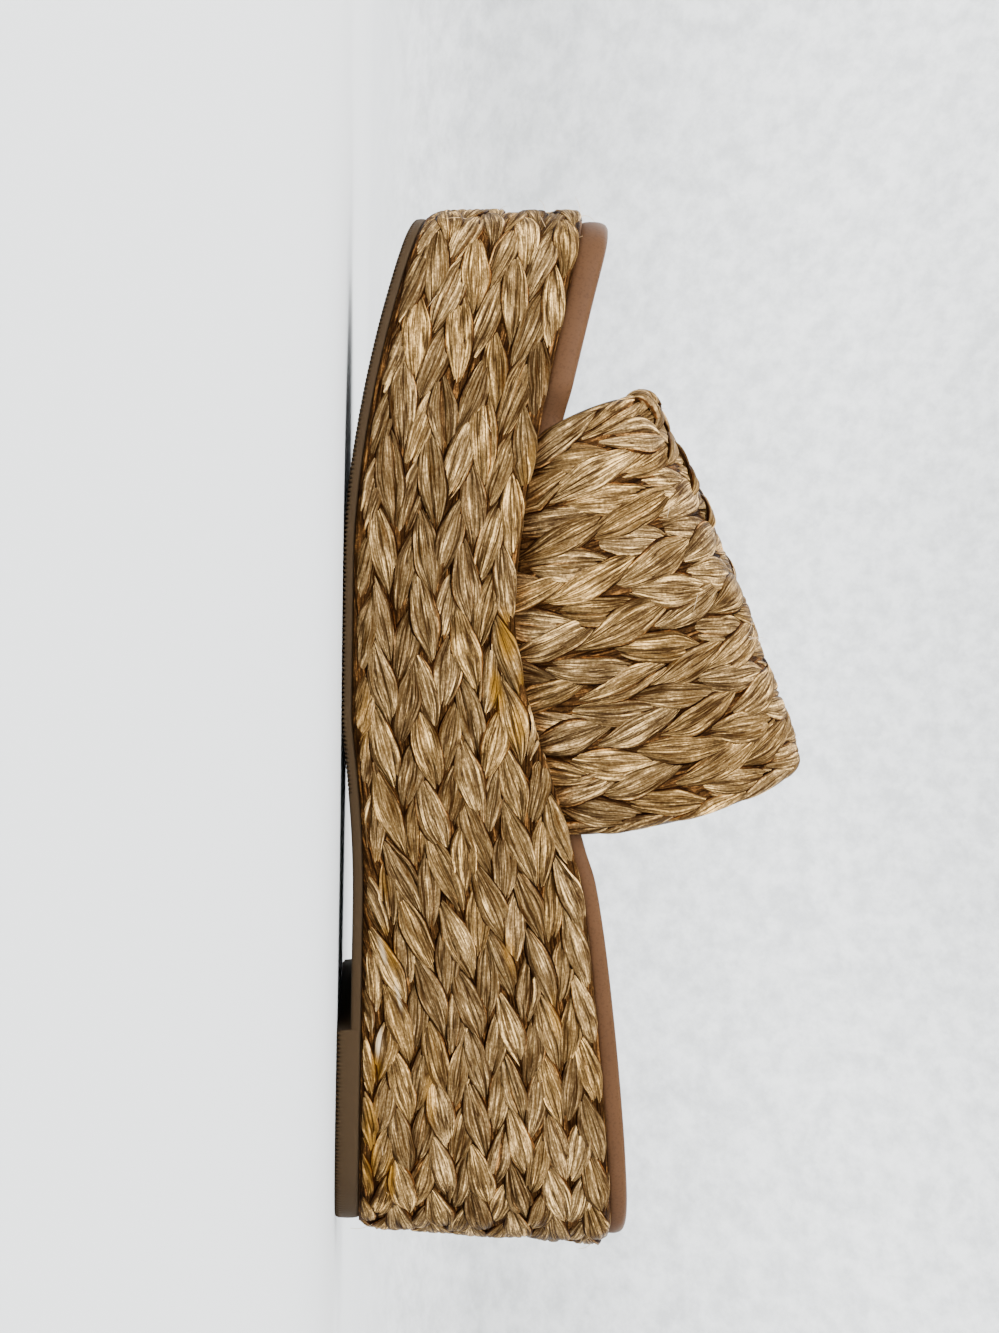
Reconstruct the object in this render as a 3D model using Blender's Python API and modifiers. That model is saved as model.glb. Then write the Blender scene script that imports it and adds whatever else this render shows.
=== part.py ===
"""Platform wedge sandal, right foot: rubber outsole, braid-wrapped wedge, insole and braided band.

Frame: metres, +Z up, toe towards -Y, heel towards +Y, inner (medial) side towards +X.
The origin is on the ground, under the middle of the sandal's box.
The sizes below are in millimetres. A station is a distance forward from the heel's back,
measured at the deck, which is the wedge's top.
"""
import math
from collections import namedtuple

import bmesh
import bpy
from mathutils import Vector

MM = 0.001
MERGE = 0.00002         # metres; points nearer than this are one
OUTLINE_STEPS = 720     # straight steps that measure the outline's length
ROW_STEPS = 96          # the same for a row of the band
RIB_ROOM = 1.2          # least distance from a rib to one that is placed on purpose
RIBS = 44               # cross-sections of sheet and insole, from heel to toe

# ---------------------------------------------------------------- driving sizes
LENGTH = 258.2          # wedge at the deck, without the braids' relief
GAP = 0.3               # between neighbouring pieces
BRAID_RAISE = 1.8       # how far a leaf of the wrap stands out from the wedge
LEAF_PITCH = 14.5       # from one leaf of the wrap to the next
SIDE_FLARE = 1.5        # the wedge is this much narrower at its foot, on each side
HEEL_LEAN = 4.5         # the heel's back overhangs its foot by this much
LEAN_REACH = 66.0       # station where the heel's lean has died out

SHEET = 2.6             # thickness of the outsole's sheet
SHEET_INSET = 0.4       # outsole's edge, in from the wedge's foot
ARCH_FRONT = 134.0      # the sole is flat on the ground from here to SPRING_START
ARCH_REACH = 45.0       # the sole lifts to its full arch over this distance
ARCH_LIFT = 3.2
ARCH_SOFT = 0.15        # softens the bend where the arch begins
SPRING_START = 169.0
TOE_SPRING = 17.6       # lift of the sole at the toe's end
SPRING_POWER = 1.7
LIFT_FRONT = 60.0       # front face of the heel's lift, moulded with the sheet
LIFT_DRAFT = 0.5        # slope of that front face, along the sandal

INSOLE_INSET = 0.8      # insole's edge, in from the wedge's edge
INSOLE_TUCK = 4.2       # the same beside the band, which stands on the wedge
TUCK_EASE = 7.0         # length over which the insole's edge moves in
TUCK_FRONT = 5.0        # room for the band's forward lean beside the insole

BAND_ROWS = 9           # braids side by side across the band
BAND_INSET = 0.4        # outer foot of the band, in from the wedge's edge
BAND_WALL = 2.4
BAND_RAISE = 1.7        # how far its leaves stand out from that wall
BAND_LEAVES = 10        # leaves along a row, from foot to foot
BAND_CREST_SIDE = 3.0   # the instep's ridge is this far to the inner side
BAND_SQUARE_INNER = 2.5  # exponents of the band's arch on each side, 2 is an ellipse
BAND_SQUARE_OUTER = 2.2

# ---------------------------------------------------------------- tables, in millimetres
Section = namedtuple("Section", "station inner outer deck insole")
LAST = (
    Section(0.0, 0.0, 0.0, 66.6, 4.8),
    Section(8.0, 20.0, -19.5, 66.0, 4.8),
    Section(28.0, 29.0, -28.8, 63.6, 4.8),
    Section(62.0, 29.6, -31.6, 60.2, 4.7),
    Section(92.0, 28.8, -34.4, 56.4, 4.2),
    Section(112.0, 29.8, -37.2, 51.0, 4.0),
    Section(132.0, 32.8, -40.8, 43.8, 4.3),
    Section(154.0, 37.2, -43.6, 38.5, 4.8),
    Section(176.0, 39.4, -44.0, 39.5, 5.2),
    Section(201.0, 39.6, -41.8, 43.4, 5.8),
    Section(226.0, 37.6, -35.6, 48.6, 6.4),
    Section(246.0, 31.0, -26.0, 53.2, 7.2),
    Section(LENGTH, 1.0, 1.0, 56.6, 7.4),
)

# Lowest and highest braid row of the wrap: 4 rows at the forefoot, 6 at the heel.
Wrap = namedtuple("Wrap", "station lowest highest")
WRAP = (
    Wrap(0.0, 0.0, 6.0),
    Wrap(62.0, 0.0, 6.0),
    Wrap(86.0, 0.5, 6.0),
    Wrap(108.0, 1.0, 5.9),
    Wrap(140.0, 1.0, 5.0),
    Wrap(LENGTH, 1.0, 5.0),
)

# A plait across its width: the relief where a leaf lies and between two leaves.
Plait = namedtuple("Plait", "across leaf between")
PLAIT = (
    Plait(0.0, 0.25, 0.0),
    Plait(0.25, 1.0, 0.3),
    Plait(0.5, 0.7, 0.25),
    Plait(0.75, 1.0, 0.3),
    Plait(1.0, 0.25, 0.0),
)

# The edges of sheet and insole, from below: how far in, and at what share of the thickness.
Rim = namedtuple("Rim", "inset share")
SHEET_RIM = (Rim(1.0, 0.0), Rim(0.1, 0.28), Rim(0.0, 0.8), Rim(0.3, 1.0))
INSOLE_RIM = (
    Rim(0.9, 0.0),
    Rim(0.15, 0.2),
    Rim(0.0, 0.5),
    Rim(0.25, 0.78),
    Rim(1.1, 0.95),
    Rim(2.6, 1.0),
    Rim(12.0, 0.97),
)

# The band from its rear edge (0) to its front edge (1): where it stands on the wedge on
# each side, where and how high its outside passes over the instep, and how late it leans
# forward on its way up.
Strap = namedtuple("Strap", "share inner_foot outer_foot crest height sweep")
BAND = (
    Strap(0.0, 105.5, 101.5, 120.0, 119.0, 1.8),
    Strap(0.25, 128.5, 124.0, 143.5, 109.4, 1.5),
    Strap(0.5, 151.0, 146.5, 167.0, 99.0, 1.25),
    Strap(0.75, 174.0, 169.0, 190.0, 87.6, 1.0),
    Strap(1.0, 196.5, 191.5, 211.0, 75.0, 0.8),
)

# ---------------------------------------------------------------- reading the tables


def hermite(t, y0, y1, m0, m1):
    """Cubic from y0 to y1 over one unit, with the slopes m0 and m1."""
    a = 2 * t ** 3 - 3 * t ** 2 + 1
    b = t ** 3 - 2 * t ** 2 + t
    c = -2 * t ** 3 + 3 * t ** 2
    d = t ** 3 - t ** 2
    return a * y0 + b * m0 + c * y1 + d * m1


def smooth(xs, ys, at):
    """Smooth curve through the points, read at one place."""
    at = min(max(at, xs[0]), xs[-1])
    last = len(xs) - 1
    i = max(k for k in range(last) if xs[k] <= at)
    step = xs[i + 1] - xs[i]

    def slope(k):
        low, high = max(k - 1, 0), min(k + 1, last)
        return (ys[high] - ys[low]) / (xs[high] - xs[low])

    t = (at - xs[i]) / step
    return hermite(t, ys[i], ys[i + 1], slope(i) * step, slope(i + 1) * step)


def column(table, name):
    return [getattr(row, name) for row in table]


def read(table, name, at):
    """One named column of a table at a place along its first column."""
    return smooth([row[0] for row in table], column(table, name), at)


def ease(t):
    t = min(max(t, 0.0), 1.0)
    return t * t * (3 - 2 * t)


def turn_of(station):
    """Stations as an angle, 0 at the heel and pi at the toe, which keeps both ends round."""
    return math.acos(1 - 2 * min(max(station / LENGTH, 0.0), 1.0))


TURNS = [turn_of(row.station) for row in LAST]


def edge(station, side):
    """Sideways place of the deck's edge at a station; side is "inner" or "outer"."""
    return smooth(TURNS, column(LAST, side), turn_of(station))


def deck(station):
    return read(LAST, "deck", station)


def tread(station):
    """Height of the sheet's underside, without the heel's lift."""
    arch = min(max((ARCH_FRONT - station) / ARCH_REACH, 0.0), 1.0)
    arch *= (1 + ARCH_SOFT) * arch / (arch + ARCH_SOFT)
    toe = max(station - SPRING_START, 0.0) / (LENGTH - SPRING_START)
    return ARCH_LIFT * (1 - (1 - arch) ** 2) + TOE_SPRING * toe ** SPRING_POWER


def heel_lean(station):
    """How far forward the foot of the wedge stands from its deck."""
    return HEEL_LEAN * max(1 - station / LEAN_REACH, 0.0) ** 2


def foot_of_wedge(station):
    return tread(station) + SHEET + GAP


# ---------------------------------------------------------------- the plan outline


def outline_point(turn):
    """Plan point (side, station) at an angle: the inner side up to pi, then the outer side."""
    turn %= 2 * math.pi
    station = LENGTH * (1 - math.cos(turn)) / 2
    if turn <= math.pi:
        return smooth(TURNS, column(LAST, "inner"), turn), station
    return smooth(TURNS, column(LAST, "outer"), 2 * math.pi - turn), station


def outline_normal(turn):
    """Outward direction of the outline in plan, as (side, station)."""
    step = 0.01
    x0, s0 = outline_point(turn - step)
    x1, s1 = outline_point(turn + step)
    dx, ds = x1 - x0, s1 - s0
    size = math.hypot(dx, ds)
    return ds / size, -dx / size


def equal_turns():
    """The outline's angle at a share 0 to 1 of its length, as a function, and that length."""
    turns = [2 * math.pi * k / OUTLINE_STEPS for k in range(OUTLINE_STEPS + 1)]
    run = [0.0]
    for a, b in zip(turns, turns[1:]):
        (x0, s0), (x1, s1) = outline_point(a), outline_point(b)
        run.append(run[-1] + math.hypot(x1 - x0, s1 - s0))
    total = run[-1]

    def at(share):
        want = (share % 1.0) * total
        low, high = 0, OUTLINE_STEPS
        while high - low > 1:
            mid = (low + high) // 2
            if run[mid] <= want:
                low = mid
            else:
                high = mid
        t = (want - run[low]) / (run[high] - run[low])
        return turns[low] + t * (turns[high] - turns[low])

    return at, total


AXIS_SIDE = -(max(column(LAST, "inner")) + min(column(LAST, "outer"))) / 2
AXIS_Y = LENGTH / 2


def place(side, station, height):
    """World point in metres of a place on the sandal in millimetres."""
    return Vector(((side + AXIS_SIDE) * MM, (AXIS_Y - station) * MM, height * MM))


# ---------------------------------------------------------------- building blocks


def finish(name, colour, roughness):
    material = bpy.data.materials.new(name)
    material.use_nodes = True
    shader = material.node_tree.nodes["Principled BSDF"]
    shader.inputs["Base Color"].default_value = (*colour, 1.0)
    shader.inputs["Roughness"].default_value = roughness
    shader.inputs["Metallic"].default_value = 0.0
    material.diffuse_color = (*colour, 1.0)
    return material


def add_piece(name, mesh_data, material, sandal):
    """Turn a bmesh into a named object of the sandal."""
    mesh = bpy.data.meshes.new(name)
    mesh_data.to_mesh(mesh)
    mesh_data.free()
    mesh.materials.append(material)
    piece = bpy.data.objects.new(name, mesh)
    sandal.users_collection[0].objects.link(piece)
    piece.parent = sandal
    return piece


def close_strips(mesh_data, ring, flip):
    """Close a ring whose halves face each other with strips across the sandal."""
    count = len(ring)
    half = count // 2
    for k in range(half):
        corners = [ring[k], ring[k + 1], ring[(count - k - 1) % count], ring[(count - k) % count]]
        unlike = list(dict.fromkeys(corners))
        mesh_data.faces.new(unlike[::-1] if flip else unlike)


def join_rings(mesh_data, lower, upper):
    """Side faces between two rings that run the same way round."""
    count = len(lower)
    for k in range(count):
        after = (k + 1) % count
        mesh_data.faces.new((lower[k], lower[after], upper[after], upper[k]))


def clean(mesh_data):
    """Merge points that coincide and turn every face outwards."""
    bmesh.ops.remove_doubles(mesh_data, verts=mesh_data.verts, dist=MERGE)
    bmesh.ops.dissolve_degenerate(mesh_data, edges=mesh_data.edges, dist=MERGE / 2)
    bmesh.ops.recalc_face_normals(mesh_data, faces=mesh_data.faces)


# ---------------------------------------------------------------- pieces


def plait_relief(row, k):
    """Relief 0 to 1 of a plait; leaves and the valleys between them take turns along it."""
    quarter = math.floor((row % 1.0) * 4)
    name = "leaf" if (k + quarter) % 2 == 0 else "between"
    after = "between" if name == "leaf" else "leaf"
    here, there = PLAIT[quarter], PLAIT[quarter + 1]
    t = (row % 1.0) * 4 - quarter
    return (1 - t) * getattr(here, name) + t * getattr(there, name)


def plait_faces(mesh_data, lower, upper, quarter, closed):
    """Faces between two lines of points, folded along the slant of the leaves."""
    count = len(lower) if closed else len(lower) - 1
    for k in range(count):
        after = (k + 1) % len(lower)
        a, b, c, d = lower[k], lower[after], upper[after], upper[k]
        if quarter % 4 < 2:
            corners = ((a, b, c), (a, c, d))
        else:
            corners = ((a, b, d), (b, c, d))
        for corner in corners:
            mesh_data.faces.new(corner)


def build_wedge(material, sandal):
    """The wedge with its raffia plaits raised on its side, as one solid."""
    at, length = equal_turns()
    columns = 2 * round(length / LEAF_PITCH)
    turns = [at(k / columns) for k in range(columns)]
    mesh_data = bmesh.new()
    rings = []
    for quarter in range(4 * int(WRAP[0].highest) + 1):
        ring = []
        for k, turn in enumerate(turns):
            side, station = outline_point(turn)
            across, along = outline_normal(turn)
            lowest = read(WRAP, "lowest", station)
            highest = read(WRAP, "highest", station)
            row = min(max(quarter / 4, lowest), highest)
            share = (row - lowest) / (highest - lowest)
            out = BRAID_RAISE * plait_relief(row, k) - SIDE_FLARE * (1 - share)
            station += along * out + (1 - share) * heel_lean(station)
            low, high = foot_of_wedge(station), deck(station)
            height = low + (high - low) * share
            ring.append(mesh_data.verts.new(place(side + across * out, station, height)))
        rings.append(ring)
    for quarter, (lower, upper) in enumerate(zip(rings, rings[1:])):
        plait_faces(mesh_data, lower, upper, quarter, closed=True)
    close_strips(mesh_data, rings[0], flip=False)
    close_strips(mesh_data, rings[-1], flip=True)
    clean(mesh_data)
    return add_piece("wedge", mesh_data, material, sandal)


def plan_turns(extra=()):
    """Angles round the outline with each station on both sides, closer at heel and toe."""
    stations = [LENGTH * (1 - math.cos(math.pi * k / RIBS)) / 2 for k in range(1, RIBS)]
    for station in extra:
        stations = [s for s in stations if abs(s - station) > RIB_ROOM]
    inner = [turn_of(s) for s in sorted(stations + list(extra))]
    return [0.0] + inner + [math.pi] + [2 * math.pi - turn for turn in reversed(inner)]


def build_outsole(material, sandal):
    """Moulded rubber sheet with toe spring, arch and the lift under the heel."""
    mesh_data = bmesh.new()
    drafted = LIFT_FRONT + LIFT_DRAFT
    turns = plan_turns(extra=(LIFT_FRONT, drafted, ARCH_FRONT, SPRING_START))
    rings = []
    for rim in SHEET_RIM:
        ring = []
        for turn in turns:
            side, station = outline_point(turn)
            across, along = outline_normal(turn)
            out = -(SIDE_FLARE + SHEET_INSET + rim.inset)
            lifted = station < LIFT_FRONT + LIFT_DRAFT / 2
            station += along * out + heel_lean(station)
            low = 0.0 if lifted else tread(station)
            high = tread(station) + SHEET
            height = low + (high - low) * rim.share
            ring.append(mesh_data.verts.new(place(side + across * out, station, height)))
        rings.append(ring)
    for lower, upper in zip(rings, rings[1:]):
        join_rings(mesh_data, lower, upper)
    close_strips(mesh_data, rings[0], flip=False)
    close_strips(mesh_data, rings[-1], flip=True)
    clean(mesh_data)
    return add_piece("outsole", mesh_data, material, sandal)


def insole_inset(station):
    """The insole's edge moves in where the band stands beside it."""
    rear = BAND[0].outer_foot - TUCK_EASE
    front = BAND[-1].inner_foot + TUCK_FRONT + TUCK_EASE
    tuck = ease((station - rear) / TUCK_EASE) * ease((front - station) / TUCK_EASE)
    return INSOLE_INSET + (INSOLE_TUCK - INSOLE_INSET) * tuck


def build_insole(material, sandal):
    """Footbed wrapped round its edge, thicker at the toe, following the deck."""
    mesh_data = bmesh.new()
    turns = plan_turns()
    rings = []
    for rim in INSOLE_RIM:
        ring = []
        for turn in turns:
            side, station = outline_point(turn)
            across, along = outline_normal(turn)
            out = -(insole_inset(station) + rim.inset)
            station += along * out
            height = deck(station) + GAP + read(LAST, "insole", station) * rim.share
            ring.append(mesh_data.verts.new(place(side + across * out, station, height)))
        rings.append(ring)
    for lower, upper in zip(rings, rings[1:]):
        join_rings(mesh_data, lower, upper)
    close_strips(mesh_data, rings[0], flip=False)
    close_strips(mesh_data, rings[-1], flip=True)
    clean(mesh_data)
    return add_piece("insole", mesh_data, material, sandal)


def band_point(share, arc):
    """Inner face of the band: share 0 to 1 from rear to front, arc 0 to 1 over the foot."""
    angle = math.pi * arc
    side = "inner" if arc <= 0.5 else "outer"
    square = BAND_SQUARE_INNER if arc <= 0.5 else BAND_SQUARE_OUTER
    reach = abs(math.cos(angle)) ** (2 / square)
    rise = math.sin(angle) ** (2 / square)
    foot = read(BAND, side + "_foot", share)
    crest = read(BAND, "crest", share)
    station = foot + (crest - foot) * rise ** read(BAND, "sweep", share)
    top = read(BAND, "height", share) - BAND_WALL - BAND_RAISE
    low = deck(foot) + GAP
    wall = edge(station, side)
    inset = BAND_INSET + BAND_WALL
    wall += -inset if side == "inner" else inset
    across = BAND_CREST_SIDE + (wall - BAND_CREST_SIDE) * reach
    return place(across, station, low + (top - low) * rise)


def even_arcs(share):
    """The arc at a share of the length of one of the band's rows, as a function."""
    points = [band_point(share, k / ROW_STEPS) for k in range(ROW_STEPS + 1)]
    run = [0.0]
    for a, b in zip(points, points[1:]):
        run.append(run[-1] + (b - a).length)

    def at(part):
        want = min(max(part, 0.0), 1.0) * run[-1]
        i = max(k for k in range(ROW_STEPS) if run[k] <= want)
        return (i + (want - run[i]) / (run[i + 1] - run[i])) / ROW_STEPS

    return at


def build_upper(material, sandal):
    """Wide band of plaits over the foot: one wall, open at the toe, the rear and below."""
    mesh_data = bmesh.new()
    weights = mesh_data.verts.layers.deform.verify()
    full = BAND_WALL + BAND_RAISE
    columns = 2 * BAND_LEAVES
    rows = []
    for quarter in range(4 * BAND_ROWS + 1):
        row = quarter / 4
        share = row / BAND_ROWS
        at = even_arcs(share)
        line = []
        for k in range(columns + 1):
            vert = mesh_data.verts.new(band_point(share, at(k / columns)))
            relief = plait_relief(row, k) if 0 < k < columns else 0.0
            vert[weights][0] = (BAND_WALL + BAND_RAISE * relief) / full
            line.append(vert)
        rows.append(line)
    for quarter, (rear, front) in enumerate(zip(rows, rows[1:])):
        plait_faces(mesh_data, front[::-1], rear[::-1], quarter, closed=False)
    piece = add_piece("upper", mesh_data, material, sandal)
    piece.vertex_groups.new(name="relief")
    shell = piece.modifiers.new("wall", "SOLIDIFY")
    shell.thickness = full * MM
    shell.offset = 1.0
    shell.vertex_group = "relief"
    return piece


def clear_scene():
    for piece in list(bpy.data.objects):
        bpy.data.objects.remove(piece, do_unlink=True)


def main():
    clear_scene()
    collection = bpy.data.collections.new("platform_wedge_sandal")
    bpy.context.scene.collection.children.link(collection)
    sandal = bpy.data.objects.new("sandal", None)
    collection.objects.link(sandal)
    rubber = finish("outsole_rubber", (0.16, 0.10, 0.07), 0.6)
    raffia = finish("wedge_raffia", (0.48, 0.32, 0.16), 0.55)
    band_raffia = finish("upper_raffia", (0.45, 0.32, 0.19), 0.6)
    leather = finish("insole_leather", (0.36, 0.19, 0.11), 0.5)
    build_outsole(rubber, sandal)
    build_wedge(raffia, sandal)
    build_insole(leather, sandal)
    build_upper(band_raffia, sandal)


main()
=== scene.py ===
"""Platform wedge sandal, dressed: raffia plaits round the wedge and over the instep, a leather
footbed, a ribbed rubber outsole, and a plain studio.

Sizes are in millimetres unless a name or a property says otherwise. A station is a distance
forward from the heel's back, measured at the deck, which is the wedge's top. A run is a
distance along a plait. The frame is metres, +Z up, toe towards -Y, inner side towards +X.
"""

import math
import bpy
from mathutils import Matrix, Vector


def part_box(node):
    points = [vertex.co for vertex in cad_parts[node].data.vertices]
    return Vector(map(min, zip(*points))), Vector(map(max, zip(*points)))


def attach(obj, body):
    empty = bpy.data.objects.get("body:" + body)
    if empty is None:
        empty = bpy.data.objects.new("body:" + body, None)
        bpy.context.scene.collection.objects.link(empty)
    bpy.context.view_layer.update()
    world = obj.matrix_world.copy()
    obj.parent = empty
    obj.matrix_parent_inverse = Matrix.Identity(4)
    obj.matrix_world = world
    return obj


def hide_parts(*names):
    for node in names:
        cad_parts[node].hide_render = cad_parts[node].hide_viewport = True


bl_info = {
    "name": "Platform Wedge Sandal",
    "version": (1, 0, 0),
    "blender": (4, 5, 0),
    "location": "3D View > Sidebar > Sandal",
    "description": "Dresses the frame of a wedge sandal with raffia, leather and rubber",
    "category": "Object",
}

from collections import namedtuple

import bpy
import numpy as np
from bpy.props import FloatProperty, FloatVectorProperty, IntProperty, PointerProperty
from mathutils import Matrix, Vector

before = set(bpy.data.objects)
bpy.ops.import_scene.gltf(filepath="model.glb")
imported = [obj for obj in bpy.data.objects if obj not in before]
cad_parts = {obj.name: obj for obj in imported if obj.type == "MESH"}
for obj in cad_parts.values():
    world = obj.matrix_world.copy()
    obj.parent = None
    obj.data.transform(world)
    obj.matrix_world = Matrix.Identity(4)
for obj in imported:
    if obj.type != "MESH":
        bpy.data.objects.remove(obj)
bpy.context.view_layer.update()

MM = 0.001

# ---------------------------------------------------------------- the last and its pieces
LENGTH = 258.2              # of the deck
GAP = 0.3                   # between the wedge and what is glued to it
SIDE_FLARE = 1.5            # how much narrower the wedge is at the sole
HEEL_LEAN = 4.5             # how far the heel's back leans in, down to the sole
LEAN_REACH = 66.0
SHEET = 2.6                 # thickness of the sole sheet
SHEET_INSET = 0.4
ARCH_FRONT = 134.0          # the sheet rises from here to the rear, up to the arch's lift
ARCH_REACH = 45.0
ARCH_LIFT = 3.2
ARCH_SOFT = 0.15
SPRING_START = 169.0        # and from here to the toe
TOE_SPRING = 17.6
SPRING_POWER = 1.7
LIFT_FRONT = 60.0           # front of the heel's lift
INSOLE_INSET = 0.8          # from the deck's edge
INSOLE_TUCK = 4.2           # the same beside the band
TUCK_EASE = 7.0
TUCK_FRONT = 5.0
BAND_INSET = 0.4            # the band's outer face from the deck's edge, at its feet
BAND_WALL = 2.4
BAND_RAISE = 1.7            # height of its leaves
BAND_CREST_SIDE = 3.0       # how far to the inner side its highest line lies
BAND_SQUARE = {"inner": 2.5, "outer": 2.2}  # 2 is an ellipse; higher is squarer

# The deck's edges, its height, and the footbed's thickness.
Section = namedtuple("Section", "station inner outer deck insole")
LAST = (
    Section(0.0, 0.0, 0.0, 66.6, 4.8),
    Section(8.0, 20.0, -19.5, 66.0, 4.8),
    Section(28.0, 29.0, -28.8, 63.6, 4.8),
    Section(62.0, 29.6, -31.6, 60.2, 4.7),
    Section(92.0, 28.8, -34.4, 56.4, 4.2),
    Section(112.0, 29.8, -37.2, 51.0, 4.0),
    Section(132.0, 32.8, -40.8, 43.8, 4.3),
    Section(154.0, 37.2, -43.6, 38.5, 4.8),
    Section(176.0, 39.4, -44.0, 39.5, 5.2),
    Section(201.0, 39.6, -41.8, 43.4, 5.8),
    Section(226.0, 37.6, -35.6, 48.6, 6.4),
    Section(246.0, 31.0, -26.0, 53.2, 7.2),
    Section(LENGTH, 1.0, 1.0, 56.6, 7.4),
)

# Lowest and highest plait of the wrap: 4 at the forefoot, 6 and a bit at the heel.
Wrap = namedtuple("Wrap", "station lowest highest")
WRAP = (
    Wrap(0.0, -0.35, 6.0),
    Wrap(62.0, -0.3, 6.0),
    Wrap(86.0, 0.4, 6.0),
    Wrap(108.0, 1.0, 5.9),
    Wrap(140.0, 1.0, 5.0),
    Wrap(LENGTH, 1.0, 5.0),
)

# The band from its rear edge (0) to its front edge (1): the stations of its feet and of its
# highest line, that line's height, and how soon its edge sweeps from the one to the other.
Strap = namedtuple("Strap", "share inner_foot outer_foot crest height sweep")
BAND = (
    Strap(0.0, 105.5, 101.5, 120.0, 119.0, 1.8),
    Strap(0.25, 128.5, 124.0, 143.5, 109.4, 1.5),
    Strap(0.5, 151.0, 146.5, 167.0, 99.0, 1.25),
    Strap(0.75, 174.0, 169.0, 190.0, 87.6, 1.0),
    Strap(1.0, 196.5, 191.5, 211.0, 75.0, 0.8),
)

# ---------------------------------------------------------------- how the plaits lie
# The two leaves that take turns in a plait, as seen: along each (0 to 1), its middle line's
# place across the plait (whose boundaries are at -0.5 and 0.5), and shares of its width and
# of its crown's height. Both ends dive under other leaves.
Course = namedtuple("Course", "along row width crest")
FIRST_COURSE = (
    Course(0.0, 0.36, 0.03, 0.25),
    Course(0.1, 0.35, 0.3, 0.45),
    Course(0.22, 0.31, 0.62, 0.75),
    Course(0.36, 0.24, 0.92, 1.0),
    Course(0.5, 0.16, 1.0, 1.0),
    Course(0.66, 0.08, 0.86, 0.9),
    Course(0.84, -0.01, 0.46, 0.7),
    Course(1.0, -0.11, 0.03, 0.35),
)
SECOND_COURSE = (
    Course(0.0, -0.5, 0.04, 0.1),
    Course(0.11, -0.46, 0.38, 0.4),
    Course(0.29, -0.37, 0.8, 0.85),
    Course(0.52, -0.26, 1.0, 1.0),
    Course(0.72, -0.19, 0.78, 0.9),
    Course(0.88, -0.12, 0.38, 0.6),
    Course(1.0, -0.07, 0.04, 0.3),
)

# A short leaf that crosses the others where the band bends most.
RIDGE_COURSE = (
    Course(0.0, -0.42, 0.05, 0.3),
    Course(0.14, -0.36, 0.5, 0.7),
    Course(0.35, -0.18, 0.9, 1.0),
    Course(0.6, 0.08, 1.0, 1.0),
    Course(0.84, 0.3, 0.6, 0.75),
    Course(1.0, 0.4, 0.05, 0.3),
)

# How long a leaf is in pitches, how wide in shares of the plait, how high its crown stands,
# how far behind the first it starts in pitches, and whether it is mirrored across the plait.
Leaf = namedtuple("Leaf", "course length width crown delay mirror")
WRAP_LEAVES = (
    Leaf(FIRST_COURSE, 1.5, 0.74, 1.95, 0.0, 1),
    Leaf(SECOND_COURSE, 1.42, 0.7, 1.75, 0.72, 1),
)
BAND_LEAVES = (
    Leaf(FIRST_COURSE, 1.6, 0.7, 1.9, 0.0, -1),
    Leaf(SECOND_COURSE, 1.5, 0.68, 1.75, 0.68, -1),
)
RIDGE_LEAVES = (
    Leaf(RIDGE_COURSE, 0.62, 0.34, 2.7, 0.0, 1),
    Leaf(RIDGE_COURSE, 0.7, 0.3, 2.6, 0.0, -1),
)
WRAP_LEAF_COUNT = 40        # leaves of one kind once round the wedge
HEEL_PITCH_SHARE = 0.82     # the pitch at the heel against that at the toe
BAND_PLAITS = 9
BAND_ROW_SHARE = 0.1195     # share of the band's face that one plait takes
BAND_PITCH = 16.6
RIDGE_SHORTER = 0.3         # the leaves are this much shorter over the ridge
RIDGE_REACH = 22.0

# The run at which the leaves of each plait start; the wrap's plaits count up from the sole.
WRAP_STARTS = {-1: 60.0, 0: 82.0, 1: 192.0, 2: 102.0, 3: 96.0, 4: 95.0, 5: 99.0, 6: 92.0}
BAND_STARTS = (2.0, 8.5, 10.0, 8.5, 12.3, 4.6, 13.0, 3.0, 8.0)
LOWEST_START = -19.0        # the band's leaves start no further below the deck
RIDGE_COUNT = 32            # short leaves of each kind over the ridge
RIDGE_INNER = 19.0          # they start up to this far to the ridge's inner side
RIDGE_OUTER = 3.0           # and to its outer side
RIDGE_REAR = 9.0            # the ridge lies past the middle at the rear, before it in front
RIDGE_BEND = 27.0
RIDGE_POWER = 2.5
RIDGE_ROWS = (-0.3, BAND_PLAITS - 0.7)
RIDGE_PITCHES = (0.8, 1.2)  # shares of the band's pitch
KNOT_LEAF = Leaf(RIDGE_COURSE, 0.55, 0.4, 3.2, 0.0, 1)
KNOT_LEAVES = (             # row, place along it from the middle, and which way it leans
    (8.25, -25.0, 1),
    (8.0, -21.5, -1),
    (8.35, -18.5, 1),
    (7.5, -20.0, -1),
)

LEAF_STEPS = 20             # rings along a leaf
LEAF_TOP = 23               # points across its upper side
LEAF_BELOW = 3              # points across its lower side
LEAF_THICK = 1.7
GRAIN_SPREAD = 400          # each leaf takes its grain from somewhere within this reach

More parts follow.
